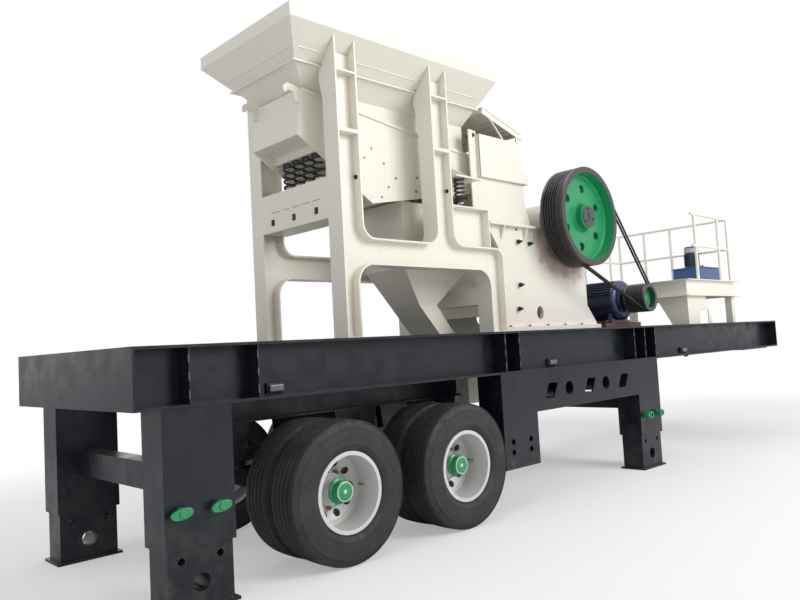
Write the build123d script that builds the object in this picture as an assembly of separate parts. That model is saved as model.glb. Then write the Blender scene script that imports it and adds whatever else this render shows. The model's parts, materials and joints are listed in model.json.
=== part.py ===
"""Mobile jaw crusher plant on a two-axle trailer, in millimetres.

X runs along the trailer from the wheel end to the coupling end, Y across it, Z up.
The origin is on the ground, midway along the chassis and on the trailer's centre line.
Lengths along the trailer are stations, counted from the wheel end of the chassis.
The near side is -Y, the side that carries the drive belts.
"""

import os
from math import acos, atan2, cos, degrees, hypot, pi, radians, sin

from build123d import *

# Chassis
CHASSIS_LENGTH = 10600
BEAM_UNDERSIDE = 1285
BEAM_DEPTH = 405
BEAM_FLANGE_WIDTH = 300
BEAM_FLANGE_THICK = 20
BEAM_WEB_THICK = 14
CHASSIS_WIDTH = 2200
STIFFENER_THICK = 14
STIFFENER_STATIONS = (380, 900, 3640, 3860, 6080, 6330, 6580)
CROSS_MEMBER_STATIONS = (1000, 2125, 3000, 3560, 4085, 4560, 5200, 6060, 6700, 7250, 8110, 9600)
CROSS_MEMBER_WIDTH = 150
CHUTE_BAY = (3560, 4560)
CHUTE_BAY_HALF_WIDTH = 245
TRIMMER_THICK = 16
END_PLATE_THICK = 16

# Tow coupling: plate and 50.8 mm kingpin under the end away from the wheels
COUPLER_STATION = 9700
COUPLER_LENGTH = 900
COUPLER_PLATE_THICK = 12
KINGPIN_HEAD_RADIUS = 35.7
KINGPIN_NECK_RADIUS = 25.4
KINGPIN_DROP = 84
KINGPIN_NECK_LENGTH = 36

# Wheels and axles
AXLE_STATIONS = (1600, 2910)
TYRE_RADIUS = 540
TYRE_WIDTH = 300
RIM_RADIUS = 286
RIM_FLANGE_RADIUS = 304
RIM_WIDTH = 252
DUAL_SPACING = 340
OUTER_TYRE_CENTRE = 1050
RIM_GAUGE = 12
HAND_HOLE_COUNT = 10
HAND_HOLE_RADIUS = 30
HAND_HOLE_CIRCLE = 198
HUB_RADIUS = 125
HUB_CAP_RADIUS = 75
DRUM_RADIUS = 205
DRUM_LENGTH = 200
DRUM_OFFSET = 72
AXLE_SIZE = 150
SPINDLE_RADIUS = 42
SPINDLE_CLEARANCE = 0.1
WHEEL_CLEARANCE = 8

# Suspension
SPRING_SPREAD = 900
SPRING_WIDTH = 90
SPRING_PACK_DEPTH = 110
SPRING_SPAN = 1060
SPRING_TIP_DEPTH = 24
SPRING_CAMBER = 95
SPRING_SEAT_THICK = 30
SUBBEAM_DEPTH = 200
SUBBEAM_WIDTH = 140
SUBBEAM_STATIONS = (960, 3620)
HANGER_LENGTH = 120

# Telescopic legs at both ends
LEG_STATIONS = (430, 6360)
LEG_LENGTH = 500
LEG_DEPTH = 290
LEG_OUTSET = 1085
LEG_WALL = 14
LEG_UNDERSIDE = 400
LEG_TOP_PLATE = 20
INNER_LEG_CLEARANCE = 5
INNER_LEG_LENGTH_IN_HOUSING = 480
FOOT_PLATE_THICK = 20
FOOT_OVERHANG = 30
PIN_HOLE_RADIUS = 24
PIN_HOLE_SPREAD = 275
PIN_HOLE_HEIGHT = 325
LIFT_HOLE_RADIUS = 60
LIFT_HOLE_HEIGHT = 170
SCREW_HEIGHT = 635
SCREW_RADIUS = 20
SCREW_HEAD_RADIUS = 34
SCREW_PROUD = 60
SCREW_TIP_GAP = 0.3

# Fixed centre legs and the side girders beside them
MID_LEG_STATION = 3825
MID_LEG_LENGTH = 540
MID_LEG_UNDERSIDE = 385
MID_LEG_HOLE_RADIUS = 28
MID_LEG_HOLE_HEIGHTS = (540, 638)
GIRDER_DEPTH = 400
GIRDER_THICK = 20
GIRDER_LIP = 90
WINDOW_STATIONS = (4320, 5040, 5740)
WINDOW_LENGTH = 160
WINDOW_HEIGHT = 150
WINDOW_LEAN = 80
WINDOW_TOP = 1150
TUBE_STATIONS = (4680, 5400)
TUBE_RADIUS = 82
TUBE_WALL = 10
TUBE_HEIGHT = 1075
LEG_TIE_WIDTH = 150
LEG_TIE_DEPTH = 195
LEG_TIE_UNDERSIDE = 700

# Support frames that carry the hopper and the feeder
FRAME_STATION = 2044
FRAME_OUTSET = 700
FRAME_DEPTH = 190
FRAME_FLANGE = 16
FRAME_WEB = 16
COLUMN_WIDTH = 242
LOWER_COLUMN_WIDTH = 165
COLUMN_SPACING = 1180
FRAME_LENGTH = 2165
REAR_COLUMN_WIDTH = 235
PORTAL_TOP = 640
FRAME_BEAM_TOP = 880
SPLICE_HEIGHT = 1810
OPENING_RADIUS = 130
PORTAL_RADIUS = 170
SHOULDER_RADIUS = 110
FRONT_BEAM_WIDTH = 270
FRONT_BEAM_UNDERSIDE = 1060
FRONT_BEAM_TOP = 1425
FRONT_BEAM_PLATE = 14
FRONT_HOLE_SIZE = 64
FRONT_HOLE_SPACING = 338
FRONT_HOLE_HEIGHT = 92
REAR_BEAM_WIDTH = 140
REAR_BEAM_UNDERSIDE = 300
REAR_BEAM_TOP = 490
BRACKET_LENGTH = 570
BRACKET_HEIGHT = 405
BRACKET_PLATE = 14

# Hopper
HOPPER_STATIONS = (1570, 4230)
HOPPER_WIDTH = 1474
HOPPER_TOP = 4470
RIM_HEIGHT = 115
HOPPER_PLATE = 12
BAND_HEIGHT = 4105
BAND_STATIONS = (1775, 4143)
BAND_WIDTH = 976
BAND_LEDGE = 30
FUNNEL_HEIGHT = 3940
SKIRT_STATIONS = (1965, 4080)
SKIRT_WIDTH = 670
SKIRT_OVERLAP = 60

# Vibrating feeder
FEEDER_STATION = 1923
FEEDER_TOP = 3927
FEEDER_SLOPE = 7.35
FEEDER_LENGTH = 2290
FEEDER_WIDTH = 720
FEEDER_PLATE = 12
TROUGH_DEPTH = 431
BELLY_STATION = 902
BELLY_DEPTH = 850
PAN_LENGTH = 1150
TOP_RAIL_DEPTH = 30
TOP_RAIL_PROUD = 16
GRIZZLY_BAR_COUNT = 7
GRIZZLY_BAR_WIDTH = 36
GRIZZLY_BAR_DEPTH = 90
EXCITER_STATIONS = (680, 1130)
EXCITER_DEPTH = 300
HOOK_SPREAD = 660
HOOK_THICK = 24
SPRING_RADIUS = 65
SPRING_WIRE = 9
FRONT_SPRING_SPACING = 180
FRONT_SPRING_HEIGHT = 285
REAR_SPRING_HEIGHT = 300
SPRING_SEAT_PLATE = 16

# Fines chute under the feeder
CHUTE_STATIONS = (3150, 4075)
CHUTE_WIDTH = 580
CHUTE_PLATE = 8
CHUTE_HANGER_STATIONS = (3300, 3900)
CHUTE_TOP = 2930
CHUTE_SHOULDER = 2380
CHUTE_THROAT = 2010
THROAT_STATIONS = (3410, 3662)
DUCT_BEND = 1725
DUCT_BEND_STATIONS = (3670, 3905)
DUCT_EXIT_STATIONS = (4080, 4310)
DUCT_KNEE = 1285
DUCT_EXIT = 950
DUCT_WIDTH = 420

# Jaw crusher
CRUSHER_STATIONS = (4450, 6110)
CRUSHER_WIDTH = 960
CRUSHER_SIDE_THICK = 50
CRUSHER_BASE_THICK = 60
CRUSHER_BASE_LEDGE = 220
CRUSHER_TOP = 2890
CRUSHER_WALL_THICK = 90
SHAFT_STATION = 5675
SHAFT_HEIGHT = 3010
SHAFT_RADIUS = 70
SHAFT_STUB = 30
BEARING_RADIUS = 190
BEARING_LENGTH = 150
BEARING_BORE_CLEARANCE = 0.1
PITMAN_RADIUS = 245
PITMAN_LENGTH = 640
PITMAN_CLEARANCE = 0.1
JAW_THICK = 90
HOOD_STATIONS = (4022, 4964)
HOOD_WIDTH = 960
HOOD_TOP = 3870
HOOD_LEDGE = 3390
HOOD_NECK_STATIONS = (4327, 5110)
HOOD_PLATE = 14
HOOD_LEDGE_PROUD = 45
HOOD_INLET_GAP = 25
COVER_RISE = 150

# Flywheels, motor and belts
FLYWHEEL_RADIUS = 585
FLYWHEEL_WIDTH = 300
FLYWHEEL_OUTER_FACE = 880
FLYWHEEL_RIM = 62
FLYWHEEL_WEB = 60
FLYWHEEL_WEB_RECESS = 60
FLYWHEEL_HUB_RADIUS = 150
FLYWHEEL_HOLE_COUNT = 6
FLYWHEEL_HOLE_RADIUS = 52
FLYWHEEL_HOLE_CIRCLE = 340
GROOVE_COUNT = 5
GROOVE_PITCH = 34
GROOVE_DEPTH = 22
GROOVE_FLAT = 10
PLAIN_RIM_LENGTH = 120
MOTOR_STATION = 6972
MOTOR_HEIGHT = 2059
MOTOR_RADIUS = 245
MOTOR_LENGTH = 640
MOTOR_END_GAP = 60
MOTOR_SHAFT_RADIUS = 40
PULLEY_RADIUS = 182
PULLEY_LENGTH = 290
PULLEY_WALL = 26
RAIL_HEIGHT = 70
RAIL_LENGTH = 900
RAIL_WIDTH = 90
RAIL_SPACING = 420
BELT_COUNT = 4
BELT_THICK = 17
BELT_WIDTH = 22
BELT_CLEARANCE = 0.5

# Power pack stand with its railing
STAND_STATIONS = (7990, 9720)
STAND_WIDTH = 1860
STAND_TOP = 2325
STAND_RING_DEPTH = 235
STAND_FLANGE = 75
STAND_PLATE = 10
STAND_LEG_SIZE = 100
STAND_LEG_INSET = 120
TANK_STATIONS = (8960, 9700)
TANK_OUTSET = 680
TANK_WIDTH = 450
TANK_HEIGHT = 235
TANK_LID = 14
PUMP_MOTOR_RADIUS = 95
PUMP_MOTOR_HEIGHT = 330
RAILING_HEIGHT = 935
RAILING_MID = 480
RAILING_RADIUS = 17
POST_RADIUS = 21
RAILING_END_STATION = 9470
RAILING_POST_STATIONS = (8360, 9130)


# Derived places
def station(value):
    """X of a distance from the wheel end of the chassis."""
    return value - CHASSIS_LENGTH / 2


def stations(pair):
    return station(pair[0]), station(pair[1])


DECK = BEAM_UNDERSIDE + BEAM_DEPTH
BEAM_OUTER = CHASSIS_WIDTH / 2
BEAM_CENTRE = BEAM_OUTER - BEAM_FLANGE_WIDTH / 2
BEAM_INNER = BEAM_OUTER - BEAM_FLANGE_WIDTH
SHAFT_X = station(SHAFT_STATION)
MOTOR_X = station(MOTOR_STATION)
FRAME_X = station(FRAME_STATION)
FRAME_INNER = FRAME_OUTSET - FRAME_DEPTH
FRONT_BEAM_X = FRAME_X + FRONT_BEAM_WIDTH / 2


# Shape helpers
def block(x, y, z):
    """Box between (low, high) pairs."""
    size = (x[1] - x[0], y[1] - y[0], z[1] - z[0])
    middle = ((x[0] + x[1]) / 2, (y[0] + y[1]) / 2, (z[0] + z[1]) / 2)
    return Pos(*middle) * Box(*size)


def panel(points):
    """Flat face from (a, b) points, or (a, b, corner radius) where a corner is rounded."""
    pairs = zip(points, points[1:] + points[:1])
    turn = sum(one[0] * two[1] - two[0] * one[1] for one, two in pairs)
    if turn < 0:
        points = points[::-1]
    face = Polygon(*[point[:2] for point in points], align=None)
    for point in points:
        if len(point) == 3:
            corner = face.vertices().sort_by_distance((point[0], point[1], 0))[0]
            face = fillet(corner, point[2])
    return face


def across(face, low, high):
    """Solid from a face drawn in X and Z, between two values of Y."""
    return extrude(Plane.XZ.offset(-high) * face, amount=high - low)


def along(face, low, high):
    """Solid from a face drawn in Y and Z, between two values of X."""
    return extrude(Plane.YZ.offset(low) * face, amount=high - low)


def round_bar(radius, x, z, low, high):
    """Cylinder along Y."""
    return Pos(x, (low + high) / 2, z) * Rot(90, 0, 0) * Cylinder(radius, high - low)


def spun(x, z, *profiles):
    """Solid turned about an axis along Y from one or more overlapping lists of (radius, y) points."""
    face = Sketch() + [panel(points) for points in profiles]
    return Pos(x, 0, z) * revolve(face, Axis.Y)


def frustum(low_box, low_z, high_box, high_z):
    """Loft between two level rectangles, each (x low, x high, y low, y high)."""
    faces = []
    for (x0, x1, y0, y1), z in ((low_box, low_z), (high_box, high_z)):
        faces.append(Pos((x0 + x1) / 2, (y0 + y1) / 2, z) * Rectangle(x1 - x0, y1 - y0))
    return loft(faces)


def grown(box, amount):
    return box[0] - amount, box[1] + amount, box[2] - amount, box[3] + amount


def duct(levels, wall):
    """Open pipe of rectangular section through (box, z) levels, low to high, in wall thickness."""
    shell = None
    for (low_box, low_z), (high_box, high_z) in zip(levels, levels[1:]):
        outer = frustum(low_box, low_z, high_box, high_z)
        inner = frustum(grown(low_box, -wall), low_z, grown(high_box, -wall), high_z)
        piece = outer - inner
        shell = piece if shell is None else shell + piece
    return shell


def far(shape):
    """The same shape on the other side of the trailer."""
    return mirror(shape, Plane.XZ)


def both(shape):
    return [shape, far(shape)]


def save(name, *shapes):
    solids = [solid for shape in shapes for solid in shape.solids()]
    export_step(Compound(children=solids), f"parts/{name}.step")


# Chassis pieces
def i_section(centre, width, low, high, flange, web):
    """Face of a rolled or welded I-section, flanges level."""
    half = width / 2
    return panel([
        (centre - half, low), (centre + half, low), (centre + half, low + flange),
        (centre + web / 2, low + flange), (centre + web / 2, high - flange),
        (centre + half, high - flange), (centre + half, high), (centre - half, high),
        (centre - half, high - flange), (centre - web / 2, high - flange),
        (centre - web / 2, low + flange), (centre - half, low + flange),
    ])


def main_beam():
    """Near main beam, with the web stiffeners that show on its outer side."""
    face = i_section(-BEAM_CENTRE, BEAM_FLANGE_WIDTH, BEAM_UNDERSIDE, DECK, BEAM_FLANGE_THICK, BEAM_WEB_THICK)
    beam = along(face, station(END_PLATE_THICK), station(CHASSIS_LENGTH - END_PLATE_THICK))
    inside = (BEAM_UNDERSIDE + BEAM_FLANGE_THICK, DECK - BEAM_FLANGE_THICK)
    for place in STIFFENER_STATIONS:
        x = station(place)
        beam += block((x - STIFFENER_THICK / 2, x + STIFFENER_THICK / 2), (-BEAM_OUTER, -BEAM_CENTRE), inside)
    return beam


def end_plate(x):
    return block((x, x + END_PLATE_THICK), (-BEAM_OUTER, BEAM_OUTER), (BEAM_UNDERSIDE, DECK))


def cross_members():
    """I-section cross members level with the deck, with a trimmed bay where the fines duct drops through."""
    face = i_section(0, CROSS_MEMBER_WIDTH, BEAM_UNDERSIDE, DECK, 16, 12)
    members = [Pos(station(place), 0, 0) * across(face, -BEAM_INNER, BEAM_INNER) for place in CROSS_MEMBER_STATIONS]
    x0, x1 = [station(place) + side * CROSS_MEMBER_WIDTH / 2 for place, side in zip(CHUTE_BAY, (1, -1))]
    y = CHUTE_BAY_HALF_WIDTH
    bay = block((x0, x1), (-y, y), (BEAM_UNDERSIDE - 1, DECK + 1))
    trimmer = block((x0, x1), (-y - TRIMMER_THICK, -y), (BEAM_UNDERSIDE, DECK))
    pieces = []
    for member in members:
        inside = x0 < member.center().X < x1
        pieces += (member - bay + trimmer + far(trimmer)).solids() if inside else [member]
    return pieces


def coupler():
    """Coupling plate with its flanged kingpin."""
    x = station(COUPLER_STATION)
    low = BEAM_UNDERSIDE - COUPLER_PLATE_THICK
    plate = block((x - COUPLER_LENGTH / 2, x + COUPLER_LENGTH / 2), (-BEAM_OUTER, BEAM_OUTER),
                  (low, BEAM_UNDERSIDE))
    neck_top = low - (KINGPIN_DROP - KINGPIN_NECK_LENGTH) / 2
    neck_low = neck_top - KINGPIN_NECK_LENGTH
    pin = Pos(x, 0, low - KINGPIN_DROP / 2) * Cylinder(KINGPIN_HEAD_RADIUS, KINGPIN_DROP)
    ring = Cylinder(KINGPIN_HEAD_RADIUS, neck_top - neck_low) - Cylinder(KINGPIN_NECK_RADIUS, neck_top - neck_low)
    return plate + pin - Pos(x, 0, (neck_low + neck_top) / 2) * ring


# Wheels
def tyre(x, centre):
    """Tyre about an axis along Y, on its rim's bead seats."""
    half = TYRE_WIDTH / 2
    bead = RIM_WIDTH / 2
    side = (TYRE_RADIUS + RIM_RADIUS) / 2
    shoulder = TYRE_RADIUS - 28
    return spun(x, TYRE_RADIUS, [
        (RIM_RADIUS, centre - bead + RIM_GAUGE), (RIM_FLANGE_RADIUS + 4, centre - bead + RIM_GAUGE),
        (side, centre - half), (shoulder, centre - half + 22), (TYRE_RADIUS, centre - half + 48),
        (TYRE_RADIUS, centre + half - 48), (shoulder, centre + half - 22), (side, centre + half),
        (RIM_FLANGE_RADIUS + 4, centre + bead - RIM_GAUGE), (RIM_RADIUS, centre + bead - RIM_GAUGE),
    ])


def barrel_profile(centre):
    """Rim barrel with a flange at each edge."""
    half = RIM_WIDTH / 2
    inner = RIM_RADIUS - RIM_GAUGE
    return [
        (inner, centre - half), (RIM_FLANGE_RADIUS, centre - half), (RIM_FLANGE_RADIUS, centre - half + RIM_GAUGE),
        (RIM_RADIUS, centre - half + RIM_GAUGE), (RIM_RADIUS, centre + half - RIM_GAUGE),
        (RIM_FLANGE_RADIUS, centre + half - RIM_GAUGE), (RIM_FLANGE_RADIUS, centre + half), (inner, centre + half),
    ]


def wheel(x):
    """Near dual wheel: tyres, and rims bolted back to back on a hub with its brake drum and cap."""
    centres = (-OUTER_TYRE_CENTRE, -OUTER_TYRE_CENTRE + DUAL_SPACING)
    joint = sum(centres) / 2
    inner = RIM_RADIUS - RIM_GAUGE / 2
    bore = SPINDLE_RADIUS + SPINDLE_CLEARANCE
    cap_face = -OUTER_TYRE_CENTRE - 60
    outer_disc = [(bore, joint - RIM_GAUGE), (155, joint - RIM_GAUGE), (235, joint - 52), (inner, joint - 60),
                  (inner, joint - 60 + RIM_GAUGE), (240, joint - 52 + RIM_GAUGE), (160, joint), (bore, joint)]
    inner_disc = [(radius, 2 * joint - y) for radius, y in outer_disc]
    drum_face = joint + DRUM_OFFSET
    hub = [(bore, joint - 50), (HUB_RADIUS, joint - 50), (HUB_RADIUS, drum_face + 5), (bore, drum_face + 5)]
    cap = [(0, cap_face), (HUB_CAP_RADIUS, cap_face), (HUB_CAP_RADIUS, joint), (bore, joint), (bore, cap_face + 25),
           (0, cap_face + 25)]
    drum = [(bore, drum_face), (DRUM_RADIUS, drum_face), (DRUM_RADIUS, drum_face + DRUM_LENGTH),
            (bore, drum_face + DRUM_LENGTH)]
    metal = spun(x, TYRE_RADIUS, barrel_profile(centres[0]), outer_disc, inner_disc, barrel_profile(centres[1]), hub,
                 cap, drum)
    for turn in range(HAND_HOLE_COUNT):
        angle = 2 * pi * turn / HAND_HOLE_COUNT
        metal -= round_bar(HAND_HOLE_RADIUS, x + HAND_HOLE_CIRCLE * cos(angle),
                           TYRE_RADIUS + HAND_HOLE_CIRCLE * sin(angle), joint - 90, drum_face - 3)
    return [tyre(x, centre) for centre in centres], metal


def axle(x):
    """Square axle beam with a spindle at each end that runs in the hubs."""
    joint = OUTER_TYRE_CENTRE - DUAL_SPACING / 2
    beam_half = joint - DRUM_OFFSET - DRUM_LENGTH - WHEEL_CLEARANCE
    z = (TYRE_RADIUS - AXLE_SIZE / 2, TYRE_RADIUS + AXLE_SIZE / 2)
    beam = block((x - AXLE_SIZE / 2, x + AXLE_SIZE / 2), (-beam_half, beam_half), z)
    reach = OUTER_TYRE_CENTRE - 20
    return beam + round_bar(SPINDLE_RADIUS, x, TYRE_RADIUS, -reach, reach)


# Suspension
def leaf_pack(x):
    """Bowed leaf spring pack over the near end of an axle."""
    seat = TYRE_RADIUS + AXLE_SIZE / 2 + SPRING_SEAT_THICK
    half = SPRING_SPAN / 2
    lower = ThreePointArc((x - half, seat + SPRING_CAMBER), (x, seat), (x + half, seat + SPRING_CAMBER))
    tip = seat + SPRING_CAMBER + SPRING_TIP_DEPTH
    upper = ThreePointArc((x + half, tip), (x, seat + SPRING_PACK_DEPTH), (x - half, tip))
    ends = [Line((x + half, seat + SPRING_CAMBER), (x + half, tip)),
            Line((x - half, tip), (x - half, seat + SPRING_CAMBER))]
    face = make_face([lower, ends[0], upper, ends[1]])
    centre = -SPRING_SPREAD / 2
    pack = across(face, centre - SPRING_WIDTH / 2, centre + SPRING_WIDTH / 2)
    saddle = block((x - AXLE_SIZE / 2, x + AXLE_SIZE / 2), (centre - SPRING_WIDTH / 2 - 12, centre + SPRING_WIDTH / 2 + 12),
                   (TYRE_RADIUS + AXLE_SIZE / 2, seat + 10))
    return pack + saddle


def suspension_beam():
    """Near sub-beam under the chassis, with the hangers that carry the spring ends."""
    top = BEAM_UNDERSIDE
    centre = -SPRING_SPREAD / 2
    x0, x1 = stations(SUBBEAM_STATIONS)
    beam = along(i_section(centre, SUBBEAM_WIDTH, top - SUBBEAM_DEPTH, top, 14, 10), x0, x1)
    tip = TYRE_RADIUS + AXLE_SIZE / 2 + SPRING_SEAT_THICK + SPRING_CAMBER + SPRING_TIP_DEPTH
    first, second = station(AXLE_STATIONS[0]), station(AXLE_STATIONS[1])
    half = SPRING_SPAN / 2
    for x in (first - half, (first + second) / 2, second + half):
        spread = HANGER_LENGTH if x != (first + second) / 2 else second - first - 2 * half + HANGER_LENGTH
        face = panel([(x - spread / 2, tip), (x + spread / 2, tip), (x + spread / 2 + 50, top - SUBBEAM_DEPTH),
                      (x - spread / 2 - 50, top - SUBBEAM_DEPTH)])
        beam += across(face, centre - SPRING_WIDTH / 2, centre + SPRING_WIDTH / 2)
    return beam


# Legs
def leg_bounds(place, length, inset=0):
    x = station(place)
    return (x - length / 2 + inset, x + length / 2 - inset), (-LEG_OUTSET + inset, -LEG_OUTSET + LEG_DEPTH - inset)


def leg_housing(place):
    """Near square housing, open below, hung from a top plate under the beam."""
    x, y = leg_bounds(place, LEG_LENGTH)
    inner_x, inner_y = leg_bounds(place, LEG_LENGTH, LEG_WALL)
    body = block(x, y, (LEG_UNDERSIDE, BEAM_UNDERSIDE))
    body -= block(inner_x, inner_y, (LEG_UNDERSIDE, BEAM_UNDERSIDE - LEG_TOP_PLATE))
    for side in (-1, 1):
        hole_x = station(place) + side * PIN_HOLE_SPREAD / 2
        body -= round_bar(SCREW_RADIUS, hole_x, SCREW_HEIGHT, -LEG_OUTSET - 1, -LEG_OUTSET + LEG_WALL + 1)
    return body


def inner_leg(place):
    """Near inner leg with its foot, pin holes and lifting hole."""
    inset = LEG_WALL + INNER_LEG_CLEARANCE
    x, y = leg_bounds(place, LEG_LENGTH, inset)
    top = LEG_UNDERSIDE + INNER_LEG_LENGTH_IN_HOUSING
    leg = block(x, y, (0, top))
    for side in (-1, 1):
        leg -= round_bar(PIN_HOLE_RADIUS, station(place) + side * PIN_HOLE_SPREAD / 2, PIN_HOLE_HEIGHT,
                         y[0] - 1, y[1] + 1)
    leg -= round_bar(LIFT_HOLE_RADIUS, station(place), LIFT_HOLE_HEIGHT, y[0] - 1, y[1] + 1)
    foot = block((x[0] - FOOT_OVERHANG, x[1] + FOOT_OVERHANG), (y[0] - FOOT_OVERHANG, y[1] + FOOT_OVERHANG),
                 (0, FOOT_PLATE_THICK))
    return leg + foot


def clamp_screws(place):
    """Two near clamp screws through the housing wall, their tips against the inner leg."""
    tip = -LEG_OUTSET + LEG_WALL + INNER_LEG_CLEARANCE - SCREW_TIP_GAP
    screws = []
    for side in (-1, 1):
        x = station(place) + side * PIN_HOLE_SPREAD / 2
        stem = round_bar(SCREW_RADIUS, x, SCREW_HEIGHT, -LEG_OUTSET - SCREW_PROUD, tip)
        screws.append(stem + round_bar(SCREW_HEAD_RADIUS, x, SCREW_HEIGHT, -LEG_OUTSET - SCREW_PROUD, -LEG_OUTSET))
    return screws


def mid_leg():
    """Near fixed centre leg: a closed square box with four pin holes low on its outer face."""
    x, y = leg_bounds(MID_LEG_STATION, MID_LEG_LENGTH)
    inner_x, inner_y = leg_bounds(MID_LEG_STATION, MID_LEG_LENGTH, LEG_WALL)
    leg = block(x, y, (MID_LEG_UNDERSIDE, BEAM_UNDERSIDE))
    leg -= block(inner_x, inner_y, (MID_LEG_UNDERSIDE + LEG_WALL, BEAM_UNDERSIDE - LEG_TOP_PLATE))
    for side in (-1, 1):
        for z in MID_LEG_HOLE_HEIGHTS:
            leg -= round_bar(MID_LEG_HOLE_RADIUS, station(MID_LEG_STATION) + side * PIN_HOLE_SPREAD / 2, z,
                             y[0] - 1, y[0] + LEG_WALL + 1)
    return leg


def side_girder():
    """Near deep plate between the centre leg and the end leg, with leaning windows and tube holes."""
    x0 = station(MID_LEG_STATION) + MID_LEG_LENGTH / 2
    x1 = station(LEG_STATIONS[1]) - LEG_LENGTH / 2
    low = BEAM_UNDERSIDE - GIRDER_DEPTH
    girder = block((x0, x1), (-LEG_OUTSET, -LEG_OUTSET + GIRDER_THICK), (low, BEAM_UNDERSIDE))
    girder += block((x0, x1), (-LEG_OUTSET, -LEG_OUTSET + GIRDER_LIP), (low, low + GIRDER_THICK))
    for place in WINDOW_STATIONS:
        x = station(place)
        face = panel([(x - WINDOW_LENGTH / 2, WINDOW_TOP - WINDOW_HEIGHT, 15),
                      (x + WINDOW_LENGTH / 2, WINDOW_TOP - WINDOW_HEIGHT, 15),
                      (x + WINDOW_LENGTH / 2 + WINDOW_LEAN, WINDOW_TOP, 15),
                      (x - WINDOW_LENGTH / 2 + WINDOW_LEAN, WINDOW_TOP, 15)])
        girder -= across(face, -LEG_OUTSET - 1, -LEG_OUTSET + GIRDER_THICK + 1)
    for place in TUBE_STATIONS:
        girder -= round_bar(TUBE_RADIUS, station(place), TUBE_HEIGHT, -LEG_OUTSET - 1, -LEG_OUTSET + GIRDER_THICK + 1)
    return girder


def girder_tube(place):
    """Round tube across the trailer, welded into both girders."""
    args = (station(place), TUBE_HEIGHT, -LEG_OUTSET, LEG_OUTSET)
    return round_bar(TUBE_RADIUS, *args) - round_bar(TUBE_RADIUS - TUBE_WALL, *args)


def leg_tie(place):
    x = station(place)
    half = LEG_OUTSET - LEG_DEPTH
    return block((x - LEG_TIE_WIDTH / 2, x + LEG_TIE_WIDTH / 2), (-half, half),
                 (LEG_TIE_UNDERSIDE, LEG_TIE_UNDERSIDE + LEG_TIE_DEPTH))


# Support frame
def support_frame():
    """Near frame: one flame-cut web with a flange strip round every edge."""
    x0 = FRAME_X
    x1 = x0 + FRAME_LENGTH
    second = x0 + COLUMN_SPACING
    top = DECK + SPLICE_HEIGHT
    beam_top = DECK + FRAME_BEAM_TOP
    portal = DECK + PORTAL_TOP
    face = panel([
        (x0, DECK), (x0, top), (x0 + COLUMN_WIDTH, top), (x0 + COLUMN_WIDTH, beam_top, OPENING_RADIUS),
        (second, beam_top, OPENING_RADIUS), (second, top), (second + COLUMN_WIDTH, top),
        (second + COLUMN_WIDTH, beam_top, OPENING_RADIUS), (x1, beam_top, SHOULDER_RADIUS), (x1, DECK),
        (x1 - REAR_COLUMN_WIDTH, DECK), (x1 - REAR_COLUMN_WIDTH, portal, PORTAL_RADIUS),
        (x0 + LOWER_COLUMN_WIDTH, portal, PORTAL_RADIUS), (x0 + LOWER_COLUMN_WIDTH, DECK),
    ])
    edge = face - offset(face, amount=-FRAME_FLANGE, kind=Kind.INTERSECTION)
    middle = -FRAME_OUTSET + FRAME_DEPTH / 2
    web = across(face, middle - FRAME_WEB / 2, middle + FRAME_WEB / 2)
    return across(edge, -FRAME_OUTSET, -FRAME_INNER) + web


def upper_column(x):
    """Near H-shaped column from the splice to the hopper's rim, cut to the hopper's slope."""
    low = DECK + SPLICE_HEIGHT
    rim = HOPPER_TOP - RIM_HEIGHT
    wall = -HOPPER_WIDTH / 2
    band = -BAND_WIDTH / 2
    ledge = band - BAND_LEDGE
    under = BAND_HEIGHT - HOPPER_PLATE
    slope = (rim - BAND_HEIGHT) / (band - wall)
    side = panel([
        (-FRAME_OUTSET, low), (-FRAME_INNER, low), (-FRAME_INNER, BAND_HEIGHT - 305), (band + 26, BAND_HEIGHT - 92),
        (band + 6, under), (ledge - 1, under),
        (ledge - 1, rim - slope * (ledge - 1 - wall) - 2), (-FRAME_OUTSET, rim - slope * (-FRAME_OUTSET - wall) - 2),
    ])
    flanges = [along(side, x, x + FRAME_FLANGE), along(side, x + COLUMN_WIDTH - FRAME_FLANGE, x + COLUMN_WIDTH)]
    middle = -FRAME_OUTSET + FRAME_DEPTH / 2
    web = block((x, x + COLUMN_WIDTH), (middle - FRAME_WEB / 2, middle + FRAME_WEB / 2), (low, rim - slope * (middle - wall) - 14))
    column = flanges[0] + flanges[1] + web
    for z in (low, low + 520):
        column += block((x, x + COLUMN_WIDTH), (-FRAME_OUTSET, middle), (z, z + FRAME_FLANGE))
    return column


def front_beam():
    """Box beam between the front columns, with three rounded-square holes in its faces."""
    x0 = FRAME_X
    low, high = DECK + FRONT_BEAM_UNDERSIDE, DECK + FRONT_BEAM_TOP
    wall = FRONT_BEAM_PLATE
    beam = block((x0, x0 + FRONT_BEAM_WIDTH), (-FRAME_INNER, FRAME_INNER), (low, high))
    beam -= block((x0 + wall, x0 + FRONT_BEAM_WIDTH - wall), (-FRAME_INNER, FRAME_INNER), (low + wall, high - wall))
    half = FRONT_HOLE_SIZE / 2
    z = low + FRONT_HOLE_HEIGHT
    for step in (-1, 0, 1):
        y = step * FRONT_HOLE_SPACING
        face = panel([(y - half, z - half, 14), (y + half, z - half, 14), (y + half, z + half, 14),
                      (y - half, z + half, 14)])
        beam -= along(face, x0 - 1, x0 + wall + 1)
    return beam


def rear_beam():
    x1 = FRAME_X + FRAME_LENGTH - REAR_COLUMN_WIDTH
    return block((x1, x1 + REAR_BEAM_WIDTH), (-FRAME_INNER, FRAME_INNER), (DECK + REAR_BEAM_UNDERSIDE, DECK + REAR_BEAM_TOP))


def bracket_x():
    x0 = FRAME_X + COLUMN_SPACING + COLUMN_WIDTH
    return x0, x0 + BRACKET_LENGTH


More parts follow.
